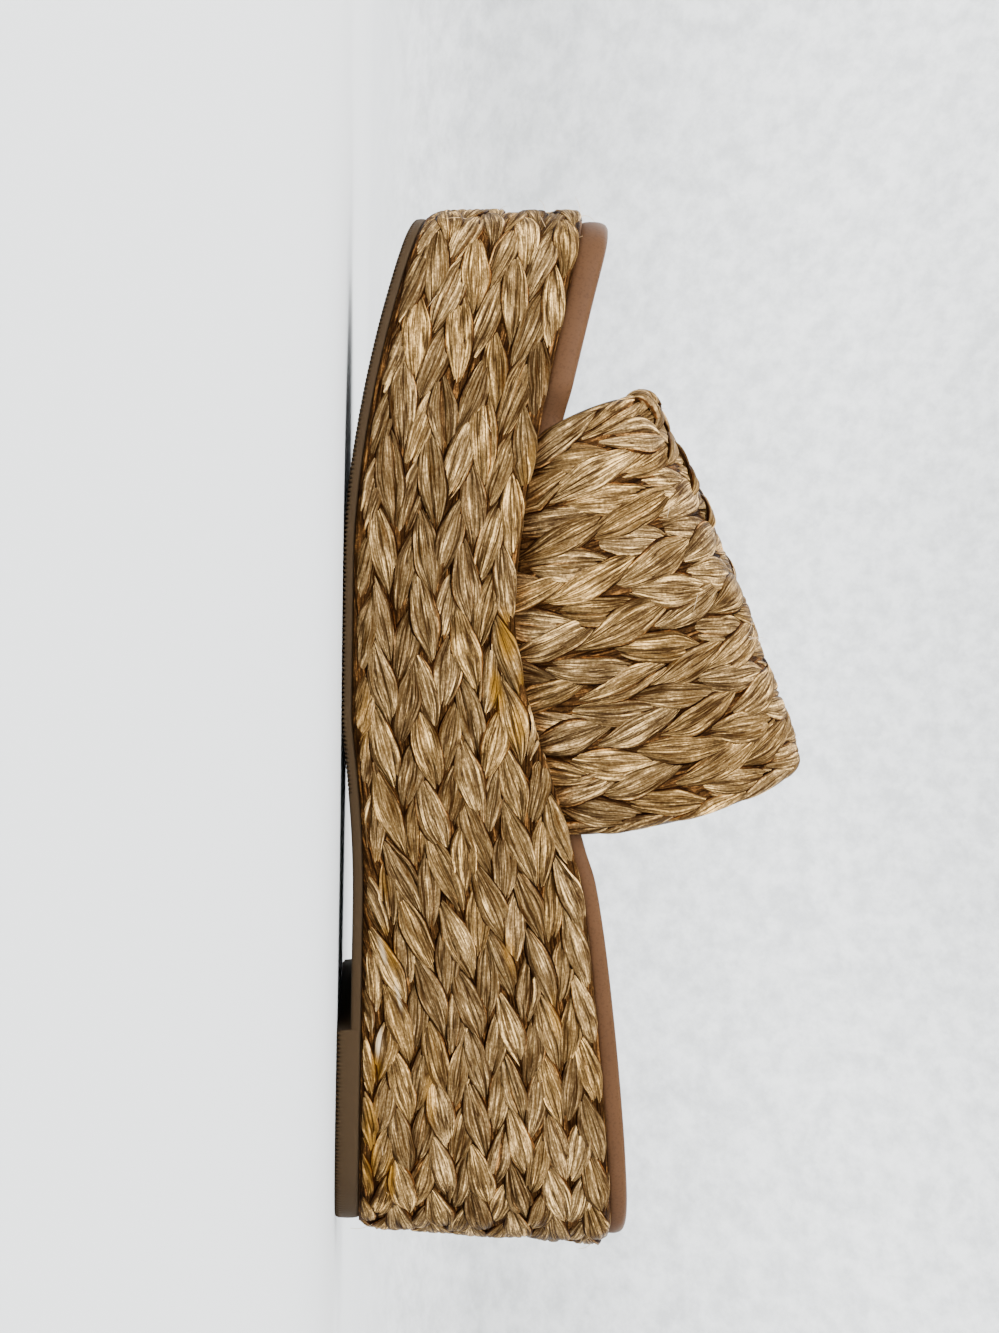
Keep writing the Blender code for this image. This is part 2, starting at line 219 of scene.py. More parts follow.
# Stained places on the wrap: where, how far along and across they reach, and how strong.
Stain = namedtuple("Stain", "run row length width tint")
AMBER_STAINS = (
    Stain(41.0, 0.38, 6.5, 0.14, 1.0),
    Stain(48.0, -0.15, 17.0, 0.2, 0.8),
    Stain(69.0, 0.02, 4.5, 0.14, 1.0),
    Stain(96.0, 0.85, 5.0, 0.16, 0.75),
    Stain(113.0, 1.1, 6.0, 0.2, 0.4),
    Stain(62.0, 1.4, 7.0, 0.16, 0.5),
    Stain(81.0, 4.9, 5.0, 0.18, 0.5),
    Stain(95.0, 3.9, 4.5, 0.18, 0.5),
    Stain(148.0, 4.75, 5.5, 0.2, 0.7),
    Stain(156.0, 4.3, 5.5, 0.17, 1.0),
    Stain(157.0, 4.95, 5.0, 0.16, 0.8),
    Stain(169.0, 4.7, 6.0, 0.22, 0.95),
    Stain(150.0, 1.2, 9.0, 0.2, 0.4),
    Stain(205.0, 4.8, 7.0, 0.2, 0.3),
    Stain(330.0, 0.4, 9.0, 0.2, 0.6),
    Stain(420.0, 4.7, 7.0, 0.2, 0.5),
    Stain(520.0, 0.5, 12.0, 0.2, 0.5),
)
PALE_SCRAPS_AND_HIGHLIGHT = (
    Stain(76.5, 0.08, 4.6, 0.11, 1.0),
    # Painted highlight: this thin pale line stands in for a highlight along a leaf's tip.
    Stain(85.5, 0.76, 3.2, 0.05, 0.8),
    Stain(95.5, 0.64, 3.0, 0.06, 0.6),
    Stain(470.0, 0.3, 4.5, 0.12, 0.8),
)


# ---------------------------------------------------------------- curves and tables
def spline(xs, ys):
    """Smooth curve through the points, as a function of an array."""
    xs, ys = np.array(xs, float), np.array(ys, float)
    last = len(xs) - 1
    low = np.maximum(np.arange(last + 1) - 1, 0)
    high = np.minimum(np.arange(last + 1) + 1, last)
    slopes = (ys[high] - ys[low]) / (xs[high] - xs[low])

    def at(x):
        x = np.clip(np.asarray(x, float), xs[0], xs[-1])
        i = np.clip(np.searchsorted(xs, x, side="right") - 1, 0, last - 1)
        step = xs[i + 1] - xs[i]
        t = (x - xs[i]) / step
        rise = t * t * (3 - 2 * t)
        start = slopes[i] * step * t * (1 - t) ** 2
        end = slopes[i + 1] * step * t * t * (t - 1)
        return ys[i] * (1 - rise) + ys[i + 1] * rise + start + end

    return at


def column(table, name):
    return [getattr(row, name) for row in table]


def curves(table):
    """A smooth curve for each named column of a table, over its first column."""
    first, *others = table[0]._fields
    return {name: spline(column(table, first), column(table, name)) for name in others}


def ease(t):
    t = np.clip(t, 0.0, 1.0)
    return t * t * (3 - 2 * t)


LAST_AT = curves(LAST)
WRAP_AT = curves(WRAP)
BAND_AT = curves(BAND)
deck = LAST_AT["deck"]


def turn_of(station):
    """Stations as an angle, 0 at the heel and pi at the toe, which keeps both ends round."""
    return np.arccos(1 - 2 * np.clip(np.asarray(station, float) / LENGTH, 0, 1))


EDGE_AT = {
    side: spline(turn_of(column(LAST, "station")), column(LAST, side))
    for side in ("inner", "outer")
}


def tread(station):
    """Height of the sheet's underside, without the heel's lift."""
    arch = np.clip((ARCH_FRONT - station) / ARCH_REACH, 0, 1)
    arch = arch * (1 + ARCH_SOFT) * arch / (arch + ARCH_SOFT)
    toe = np.maximum(station - SPRING_START, 0) / (LENGTH - SPRING_START)
    return ARCH_LIFT * (1 - (1 - arch) ** 2) + TOE_SPRING * toe**SPRING_POWER


def heel_lean(station):
    return HEEL_LEAN * np.maximum(1 - station / LEAN_REACH, 0) ** 2


def outline(turn):
    """Plan point (side, station) at an angle: the inner side up to pi, then the outer side."""
    turn = np.mod(turn, 2 * np.pi)
    station = LENGTH * (1 - np.cos(turn)) / 2
    inner = EDGE_AT["inner"](turn)
    outer = EDGE_AT["outer"](2 * np.pi - turn)
    return np.where(turn <= np.pi, inner, outer), station


def outline_normal(turn):
    step = 0.01
    x0, s0 = outline(turn - step)
    x1, s1 = outline(turn + step)
    size = np.hypot(x1 - x0, s1 - s0)
    return (s1 - s0) / size, (x0 - x1) / size


ROUND_TURNS = np.linspace(0, 2 * np.pi, 1441)
_sides, _stations = outline(ROUND_TURNS)
ROUND_RUNS = np.append(0, np.cumsum(np.hypot(np.diff(_sides), np.diff(_stations))))
ROUND = ROUND_RUNS[-1]

AXIS_SIDE = -(max(column(LAST, "inner")) + min(column(LAST, "outer"))) / 2
AXIS_Y = LENGTH / 2


def place(side, station, height):
    """World points, in millimetres, of places on the sandal."""
    return np.stack(np.broadcast_arrays(side + AXIS_SIDE, AXIS_Y - station, height), -1)


def turn_at(run):
    return np.interp(np.mod(run, ROUND), ROUND_RUNS, ROUND_TURNS)


# ---------------------------------------------------------------- the two plaited surfaces
EDGE_ROLL = 1.4             # the wrap rolls over from here to deck and sole
EDGE_RADIUS = 0.9
EDGE_MIDDLE = 1.5
BORDER_ROLL = 3.1           # the same at the band's free borders
BORDER_RADIUS = 1.6
BORDER_MIDDLE = 2.5
MOST_ROLL = 2.6
SOLE_SQUEEZE = 0.6          # how much lower the crowns are where they meet the sole
DECK_SQUEEZE = 0.4          # the same where they have rolled over the deck
SQUEEZE_REACH = 4.0


def wrap_rows(station):
    """The lowest and the highest row of the wrap, counted in plaits."""
    return WRAP_AT["lowest"](station), WRAP_AT["highest"](station)


def wrap_surface(run, row, out):
    """Point of the wrap: run round the wedge, row upwards in plaits, out from its side."""
    turn = turn_at(run)
    side, station = outline(turn)
    across, along = outline_normal(turn)
    lowest, highest = wrap_rows(station)
    per_row = (deck(station) - tread(station) - SHEET - GAP) / (highest - lowest)
    over = np.maximum(EDGE_ROLL - (highest - row) * per_row, 0)
    under = np.maximum(EDGE_ROLL - (row - lowest) * per_row, 0)
    roll = np.minimum((over + under) / EDGE_MIDDLE, MOST_ROLL)
    squeeze = SOLE_SQUEEZE * ease(1 - (row - lowest) * per_row / SQUEEZE_REACH)
    squeeze = np.where(over > 0, DECK_SQUEEZE * np.sin(np.minimum(roll, 1.57)), squeeze)
    reach = EDGE_RADIUS + out * (1 - squeeze)
    out = reach * np.cos(roll) - EDGE_RADIUS
    lift = reach * np.sin(roll) * np.sign(over - under)
    share = (row - lowest - over / per_row + under / per_row) / (highest - lowest)
    out = out - SIDE_FLARE * (1 - share)
    station = station + along * out + (1 - share) * heel_lean(station)
    low, high = tread(station) + SHEET + GAP, deck(station)
    return place(side + across * out, station, low + (high - low) * share + lift)


def band_inside(share, arc):
    """Inner face of the band: share 0 to 1 from rear to front, arc 0 to 1 over the foot."""
    inner = arc <= 0.5
    square = np.where(inner, BAND_SQUARE["inner"], BAND_SQUARE["outer"])
    reach = np.abs(np.cos(np.pi * arc)) ** (2 / square)
    rise = np.abs(np.sin(np.pi * arc)) ** (2 / square)
    foot = np.where(inner, BAND_AT["inner_foot"](share), BAND_AT["outer_foot"](share))
    station = foot + (BAND_AT["crest"](share) - foot) * rise ** BAND_AT["sweep"](share)
    top = BAND_AT["height"](share) - BAND_WALL - BAND_RAISE
    low = deck(foot) + GAP
    turn = turn_of(station)
    inset = BAND_INSET + BAND_WALL
    wall = np.where(inner, EDGE_AT["inner"](turn) - inset, EDGE_AT["outer"](turn) + inset)
    across = BAND_CREST_SIDE + (wall - BAND_CREST_SIDE) * reach
    return place(across, station, low + (top - low) * rise)


# Rows of the band are measured once, in lines from rear to front and parts of each line.
LINES = 40
PARTS = 200
BAND_SHARES = np.linspace(0, 1, LINES + 1)
BAND_ARCS = np.linspace(0, 1, 2 * PARTS + 1)
BAND_PARTS = np.linspace(0, 1, PARTS + 1)
_grid = band_inside(BAND_SHARES[:, None], BAND_ARCS[None, :])
_steps = np.linalg.norm(np.diff(_grid, axis=1), axis=-1)
_runs = np.concatenate([np.zeros((LINES + 1, 1)), np.cumsum(_steps, axis=1)], axis=1)
BAND_LENGTHS = _runs[:, -1]
ARC_TABLE = np.stack([np.interp(BAND_PARTS * r[-1], r, BAND_ARCS) for r in _runs])
BAND_FACE = 91.0            # from rear to front border, along the foot
BAND_STEP = 0.004           # to read the band's directions
TOP_WEIGHT = 0.3            # keeps the outward side outward at the crest
FOOT_SINK = 1.7             # how far the band's plaits draw in to go behind the wrap
FOOT_REACH = 9.0
SINK_BELOW = 0.4            # and how much further for each millimetre below the deck


def band_share(row):
    """The share of the band's face at a row, counted in plaits from the rear."""
    return 0.5 + (row - BAND_PLAITS / 2) * BAND_ROW_SHARE


def band_length(share):
    return np.interp(share, BAND_SHARES, BAND_LENGTHS)


def band_arc(share, part):
    """The arc at a share of a row's length, read between the lines of a table."""
    i = np.clip(np.floor(share * LINES).astype(int), 0, LINES - 1)
    j = np.clip(np.floor(part * PARTS).astype(int), 0, PARTS - 1)
    a, b = share * LINES - i, part * PARTS - j
    rear = ARC_TABLE[i, j] * (1 - b) + ARC_TABLE[i, j + 1] * b
    front = ARC_TABLE[i + 1, j] * (1 - b) + ARC_TABLE[i + 1, j + 1] * b
    return rear * (1 - a) + front * a


def unit(vectors):
    return vectors / np.maximum(np.linalg.norm(vectors, axis=-1, keepdims=True), 1e-9)


def dot(first, second):
    return (first * second).sum(-1)


def band_surface(run, row, out):
    """Point of the band: run over the foot from its inner side, row forward in plaits."""
    run, row, out = np.broadcast_arrays(run, row, out)
    share = band_share(row)
    edge_share = BORDER_ROLL / BAND_FACE
    rear = np.maximum(edge_share - share, 0)
    front = np.maximum(share - 1 + edge_share, 0)
    roll = np.minimum((rear + front) * BAND_FACE / BORDER_MIDDLE, MOST_ROLL)
    share = np.clip(share, edge_share, 1 - edge_share)
    length = band_length(share)
    part = np.clip(run / length, 0, 1)
    arc = band_arc(share, part)
    point = band_inside(share, arc)
    onward = band_inside(share, np.clip(arc + BAND_STEP, 0, 1))
    onward = onward - band_inside(share, np.clip(arc - BAND_STEP, 0, 1))
    forward = band_inside(share + BAND_STEP, arc) - band_inside(share - BAND_STEP, arc)
    forward = unit(forward)
    normal = unit(np.cross(onward, forward))
    outward = normal[..., :1] * (0.5 - arc[..., None]) + TOP_WEIGHT * normal[..., 2:]
    normal = normal * np.sign(outward)
    border = unit(forward * np.where(rear > front, -1.0, 1.0)[..., None])
    centre = BAND_WALL - BORDER_RADIUS
    from_foot = np.minimum(run, length - run)
    sink = FOOT_SINK * (1 - ease(from_foot / FOOT_REACH)) - SINK_BELOW * np.minimum(from_foot, 0)
    reach = BORDER_RADIUS + out
    point = point + normal * (centre + reach * np.cos(roll) - sink)[..., None]
    point = point + border * (reach * np.sin(roll))[..., None]
    point[..., 2] += np.minimum(run, 0) + np.minimum(length - run, 0)
    return point


# ---------------------------------------------------------------- meshes
def is_inside_out(points, faces):
    """Whether a closed mesh's faces look inwards, by the sign of its volume."""
    volume = 0.0
    for sides in {len(face) for face in faces}:
        corners = points[np.array([face for face in faces if len(face) == sides])]
        for k in range(1, sides - 1):
            wedge = np.cross(corners[:, k], corners[:, k + 1])
            volume += (corners[:, 0] * wedge).sum()
    return volume < 0


def piece_mesh(
    name, points, faces, material, fields=None, grain=None, second=None, parts=None, closed=True
):
    """A smooth shaded piece from points in millimetres, linked to the scene.

    Its faces have the first material, or the second where parts is 1.
    """
    if closed and is_inside_out(points, faces):
        faces = [face[::-1] for face in faces]
    mesh = bpy.data.meshes.new(name)
    mesh.from_pydata((points * MM).tolist(), [], faces)
    mesh.polygons.foreach_set("use_smooth", np.ones(len(mesh.polygons), bool))
    for field, values in (fields or {}).items():
        mesh.attributes.new(field, "FLOAT", "POINT").data.foreach_set("value", values)
    if grain is not None:
        corner = np.empty(len(mesh.loops), np.int32)
        mesh.loops.foreach_get("vertex_index", corner)
        layer = mesh.uv_layers.new(name="grain")
        layer.data.foreach_set("uv", grain[corner].ravel())
    mesh.materials.append(material)
    if second:
        mesh.materials.append(second)
        mesh.polygons.foreach_set("material_index", parts)
    mesh.update()
    piece = bpy.data.objects.new(name, mesh)
    bpy.context.scene.collection.objects.link(piece)
    return piece


def declare(piece, node):
    """Put a piece on the root body and hide the frame's solid that it stands for."""
    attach(piece, "root")
    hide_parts(node)


def grid_faces(rows, columns, closed=True):
    """Quads between lines of points; each line is a ring where closed."""
    here = np.arange(columns if closed else columns - 1)
    after = (here + 1) % columns
    line = columns * np.arange(rows - 1)[:, None]
    quads = np.stack([line + here, line + after, line + columns + after, line + columns + here], -1)
    return quads.reshape(-1, 4)


def strip_faces(ring, flip):
    """Quads across a closed ring whose halves face each other."""
    count = len(ring)
    k = np.arange(count // 2)
    corners = np.stack(
        [ring[k], ring[k + 1], ring[(count - k - 1) % count], ring[(count - k) % count]], -1
    )
    faces = []
    for quad in corners.tolist():
        unlike = list(dict.fromkeys(quad))
        if len(unlike) > 2:
            faces.append(unlike if flip else unlike[::-1])
    return faces


def stack_faces(rows, columns):
    """Faces of a closed body made of rings, from its first ring to its last."""
    ring = np.arange(columns)
    faces = grid_faces(rows, columns).tolist() + strip_faces(ring, False)
    return faces + strip_faces(ring + columns * (rows - 1), True)


def tube_faces(tubes, steps, around):
    """Faces of closed tubes, each of as many rings as it has steps."""
    first = np.arange(tubes) * steps * around
    faces = (grid_faces(steps, around)[None] + first[:, None, None]).reshape(-1, 4).tolist()
    ring = np.arange(around)
    faces += [(ring[::-1] + start).tolist() for start in first]
    return faces + [(ring + start + (steps - 1) * around).tolist() for start in first]


# ---------------------------------------------------------------- leaves of the plaits
SECTION_DROP = 0.9          # how much lower a leaf's edges are than its crown
SECTION_FLAT = 3.2          # high for a flat crown with steep edges
SECTION_SOFT = 0.6
EDGE_RIM = 0.16             # height of the fold along each edge of a leaf
RIM_AT = 0.72               # shares of the leaf's half width
RIM_WIDTH = 0.09
EDGE_BROWN_AND_SHADE = 0.92            # how far the crown's light fades towards the edges: partly the leaves' brown edges, partly painted shade
EDGE_BROWN_AND_SHADE_FROM = 0.73
EDGE_BROWN_AND_SHADE_REACH = 0.2
CROWN_LOW = -0.5            # heights in millimetres that are painted as shade and as light
CROWN_RANGE = 2.0
PLEATS = 5                  # furrows pressed along each leaf
PLEAT_DEEPEST = 0.5
PLEAT_WIDTHS = (0.07, 0.14)
PLEAT_PLACES = 0.85         # up to how far from the middle, and how far they lean
PLEAT_LEANS = 0.35
WAVES = (9, 16)             # angle that a leaf's wavy outline runs through, from and to
WAVE_SHARE = 0.05           # of the width
# By how much single leaves differ, more or less: shares of the length, the width and the
# crown, plaits for their place, slant and bow, and millimetres for start, lift and tilt.
VARY_LENGTH, VARY_WIDTH, VARY_CROWN = 0.07, 0.08, 0.12
VARY_PLACE, VARY_SLANT, VARY_BOW = 0.04, 0.05, 0.04
VARY_START, VARY_LIFT, VARY_TILT = 0.8, 0.15, 0.22
VARY_WAVE = 3.0             # the angle at which the wavy outline starts
MOST_RUN_SHARE = 1.2        # keeps a leaf's spread sane where the surface folds
MOST_ROW_SHARE = 0.16
RUN_STEP, ROW_STEP = 0.4, 0.03
LEAF_TURN = np.linspace(0, np.pi, LEAF_TOP)
LEAF_W = np.append(-np.cos(LEAF_TURN), np.linspace(0.6, -0.6, LEAF_BELOW))
LEAF_IS_TOP = np.append(np.ones(LEAF_TOP, bool), np.zeros(LEAF_BELOW, bool))


def leaf_tubes(surface, starts, rows, leaf, pitches, uneven, rng):
    """Closed tubes that lie on a surface, one for each start; also their fields and grain.

    Rows and pitches are one number for each leaf, or one for all.
    Leaves differ in length, start (millimetres), line, width, crown and pleats, each by up
    to the amount given to vary.
    """
    count = len(starts)
    rows, pitches = (np.broadcast_to(each, count)[:, None] for each in (rows, pitches))

    def vary(amount):
        return rng.uniform(-amount, amount, (count, 1)) * uneven

    t = np.linspace(0, 1, LEAF_STEPS)[None, :]
    course = curves(leaf.course)
    length = leaf.length * pitches * (1 + vary(VARY_LENGTH))
    run = starts[:, None] + vary(VARY_START) + length * t
    swing = vary(VARY_PLACE) + vary(VARY_SLANT) * (t - 0.5) + vary(VARY_BOW) * np.sin(np.pi * t)
    row = rows + 0.5 + leaf.mirror * (course["row"](t) + swing)
    by_run = surface(run + RUN_STEP, row, 0.0) - surface(run - RUN_STEP, row, 0.0)
    by_row = surface(run, row + ROW_STEP, 0.0) - surface(run, row - ROW_STEP, 0.0)
    by_run, by_row = by_run / (2 * RUN_STEP), by_row / (2 * ROW_STEP)
    onward = unit(np.gradient(surface(run, row, 0.0), axis=1))
    across = unit(np.cross(np.cross(by_run, by_row), onward))
    # How far run and row go for a millimetre across the leaf.
    e, f, g = dot(by_run, by_run), dot(by_run, by_row), dot(by_row, by_row)
    p, q = dot(by_run, across), dot(by_row, across)
    size = np.maximum(e * g - f * f, 1e-3)
    run_share = np.clip((g * p - f * q) / size, -MOST_RUN_SHARE, MOST_RUN_SHARE)
    row_share = np.clip((e * q - f * p) / size, -MOST_ROW_SHARE, MOST_ROW_SHARE)

    w = LEAF_W[None, None, :]
    wave = np.sin(t * rng.uniform(*WAVES, (count, 1)) + vary(VARY_WAVE))
    widest = leaf.width / 2 * np.sqrt(g.mean(axis=1, keepdims=True)) * (1 + vary(VARY_WIDTH))
    half = widest * course["width"](t) * (1 + uneven * WAVE_SHARE * wave)
    crest = leaf.crown * (1 + vary(VARY_CROWN)) * course["crest"](t) + vary(VARY_LIFT)
    drop = SECTION_DROP * (1 - (1 - np.abs(w) ** SECTION_FLAT) ** SECTION_SOFT)
    pleats = np.zeros((count, LEAF_STEPS, len(LEAF_W)))
    for _ in range(PLEATS):
        at = vary(PLEAT_PLACES)[..., None] + vary(PLEAT_LEANS)[..., None] * (t[..., None] - 0.5)
        deep = rng.uniform(0.0, PLEAT_DEEPEST, (count, 1, 1))
        thin = rng.uniform(*PLEAT_WIDTHS, (count, 1, 1))
        pleats += deep * np.exp(-(((w - at) / thin) ** 2))
    tilt = vary(VARY_TILT)[..., None] * w
    rim = EDGE_RIM * np.exp(-(((np.abs(w) - RIM_AT) / RIM_WIDTH) ** 2))
    top = crest[..., None] - drop - pleats + tilt + rim
    below = crest[..., None] - LEAF_THICK + 0 * w
    out = np.where(LEAF_IS_TOP, top, below)
    spread = half[..., None] * w
    run = run[..., None] + run_share[..., None] * spread
    row = row[..., None] + row_share[..., None] * spread
    points = surface(run, row, out)
    tone = np.broadcast_to(rng.uniform(0, 1, (count, 1, 1)), out.shape)
    # Painted light and shade: the crown field is light where a leaf stands high, dark where it lies
    # low and in its pleats.
    height = np.clip((out - CROWN_LOW) / CROWN_RANGE, 0, 1)
    # Darker towards a leaf's edges: partly their own brown, partly painted shade.
    edge_brown_and_shade = EDGE_BROWN_AND_SHADE * ease((np.abs(w) - EDGE_BROWN_AND_SHADE_FROM) / EDGE_BROWN_AND_SHADE_REACH)
    height = height * (1 - edge_brown_and_shade) * (1 - np.clip(pleats, 0, 0.6))
    shift = rng.uniform(0, GRAIN_SPREAD, (count, 1, 1, 2))
    u = np.broadcast_to(widest[..., None] * w, out.shape)
    v = np.broadcast_to((length * t)[..., None], out.shape)
    grain = np.stack([u, v], -1) + shift

    fields = {
        "tone": tone.ravel(),
        "crown": height.ravel(),
        "run": run.ravel(),
        "row": row.ravel(),
    }
    faces = tube_faces(count, LEAF_STEPS, len(LEAF_W))
    return points.reshape(-1, 3), faces, fields, grain.reshape(-1, 2)


def merge_meshes(parts):
    """One set of points, faces, fields and grain from several."""
    points, faces, grain = [], [], []
    fields = {name: [] for name in parts[0][2]}
    first = 0
    for part_points, part_faces, part_fields, part_grain in parts:
        points.append(part_points)
        grain.append(part_grain)
        faces += [[corner + first for corner in face] for face in part_faces]
        for name, values in part_fields.items():
            fields[name].append(values)
        first += len(part_points)
    fields = {name: np.concatenate(values) for name, values in fields.items()}
    return np.concatenate(points), faces, fields, np.concatenate(grain)


def stain_field(run, row, stains):
    """How stained each point is, from a list of stained places."""
    total = np.zeros(len(run))
    for stain in stains:
        gap = np.hypot((run - stain.run) / stain.length, (row - stain.row) / stain.width)
        total = np.maximum(total, stain.tint * np.exp(-(gap**4)))
    return total


# ---------------------------------------------------------------- materials
def feed(tree, socket, value):
    """Link a socket to another one, or set it; a colour here has no alpha."""
    if isinstance(value, bpy.types.NodeSocket):
        tree.links.new(value, socket)
    elif socket.type == "RGBA":
        socket.default_value = (*value, 1.0)
    else:
        socket.default_value = value


def add_node(tree, kind, settings=None, **inputs):
    node = tree.nodes.new(kind)
    for name, value in (settings or {}).items():
        setattr(node, name, value)
    for name, value in inputs.items():
        feed(tree, node.inputs[name], value)
    return node


def maths(tree, operation, first, second=0.0, clamp=False):
    node = tree.nodes.new("ShaderNodeMath")
    node.operation = operation
    node.use_clamp = clamp
    for socket, value in zip(node.inputs, (first, second)):
        feed(tree, socket, value)
    return node.outputs[0]


MIX_COLOUR_SOCKETS = (0, 6, 7)  # factor and both colours, among those of the mix node
MIX_COLOUR_RESULT = 2


def mixed(tree, factor, first, second, blend="MIX"):
    node = add_node(tree, "ShaderNodeMix", {"data_type": "RGBA", "blend_type": blend})
    for index, value in zip(MIX_COLOUR_SOCKETS, (factor, first, second)):
        feed(tree, node.inputs[index], value)
    return node.outputs[MIX_COLOUR_RESULT]


def tinted(tree, colour, tint):
    return mixed(tree, 1.0, colour, tint, "MULTIPLY")


def scaled(colour, factor):
    return tuple(min(1.0, factor * channel) for channel in colour)


def ramp(tree, factor, stops):
    """Colour ramp; each stop is a place and a colour or a grey."""
    node = tree.nodes.new("ShaderNodeValToRGB")
    tree.links.new(factor, node.inputs[0])
    stops_of = node.color_ramp.elements
    while len(stops_of) < len(stops):
        stops_of.new(0.5)
    for element, (at, colour) in zip(stops_of, stops):
        element.position = at
        element.color = (colour,) * 3 + (1,) if isinstance(colour, float) else (*colour, 1)
    return node.outputs[0]


def noise(tree, vector, scale, detail=4.0, roughness=0.55, stretch=(1, 1, 1)):
    mapping = add_node(tree, "ShaderNodeMapping", Vector=vector, Scale=stretch)
    return add_node(
        tree,
        "ShaderNodeTexNoise",
        Vector=mapping.outputs[0],
        Scale=scale,
        Detail=detail,
        Roughness=roughness,
    ).outputs[0]


def new_material(name, roughness, specular=0.5):
    material = bpy.data.materials.new(name)
    material.use_nodes = True
    tree = material.node_tree
    shader = tree.nodes["Principled BSDF"]
    shader.inputs["Roughness"].default_value = roughness
    shader.inputs["Specular IOR Level"].default_value = specular
    return material, tree, shader


def finish_surface(tree, shader, colour, relief, strength, depth):
    """Give a shader its colour, and a bump whose depth is in millimetres."""
    feed(tree, shader.inputs["Base Color"], colour)
    bump = add_node(tree, "ShaderNodeBump", Height=relief, Strength=strength, Distance=depth * MM)
    feed(tree, shader.inputs["Normal"], bump.outputs[0])


def field(tree, name):
    return add_node(tree, "ShaderNodeAttribute", {"attribute_name": name}).outputs["Fac"]


def leaf_noise(tree, grain, kind):
    return noise(tree, grain, 1.0, *LEAF_NOISES[kind])


def crease(tree, grain, stretch, width):
    """Thin wandering lines along the leaf, where a long drawn noise crosses its middle."""
    wave = noise(tree, grain, 1.0, 2.0, 0.5, stretch)
    apart = maths(tree, "ABSOLUTE", maths(tree, "SUBTRACT", wave, 0.5))
    return maths(tree, "MULTIPLY", apart, 1.0 / width, clamp=True)


def weighted(tree, terms, offset=0.0, clamp=False):
    """The sum of sockets, each times its weight, plus an offset."""
    total = offset
    for socket, weight in terms:
        product = maths(tree, "MULTIPLY", socket, weight)
        total = maths(tree, "ADD", product, total)
    return maths(tree, "ADD", total, 0.0, clamp=True) if clamp else total


# Noises on a leaf: detail, roughness, and how finely each lies across and along it.
LEAF_NOISES = {
    "fine": (4.0, 0.7, (2.6, 0.16, 1)),
    "broad": (3.0, 0.55, (1.2, 0.05, 1)),
    "blotch": (4.0, 0.65, (0.4, 0.14, 1)),
    "grit": (2.0, 0.6, (2.2, 1.4, 1)),
    "patches": (3.0, 0.5, (0.5, 0.15, 1)),
    "specks": (2.0, 0.5, (3.2, 2.4, 1)),
    "ripple": (2.0, 0.5, (0.5, 0.9, 1)),
}
RAFFIA_IOR = 1.2            # low, as dry fibre hardly mirrors even seen flat
STREAK_SHIFT = -0.79        # centres the sum of a leaf's noises among its colours
# The palest streak colour is partly pale raffia, partly a painted highlight for the leaves' satin
# sheen.
STREAK_STOPS = {"dark": 0.0, "brown": 0.12, "straw": 0.29, "light": 0.42, "cream": 0.525}
LEAF_TINTS = (              # single leaves are greyer or more golden than others
    (0.0, (0.8, 0.78, 0.76)),
    (0.35, (0.93, 0.93, 0.92)),
    (0.7, (1.0, 0.97, 0.88)),
    (1.0, (0.98, 0.92, 0.76)),
)
TINTS_APART = 7.3           # so that a leaf's tint doesn't follow from its tone
AMBER_STOPS = ((0.1, 0.2), (0.4, 1.0), (0.65, 2.4))
SPECKS = ((0.66, 0.0), (0.7, 0.65))
SPECK_COLOUR = (0.012, 0.006, 0.002)
# Painted light and shade: how a leaf's colour is darkened by its crown field, from low and dim to
# high and lit.
PAINTED_CROWN_LIGHT_AND_SHADE = ((0.06, (0.09, 0.044, 0.02)), (0.33, (0.46, 0.36, 0.28)), (0.6, (1.0, 1.0, 1.0)))


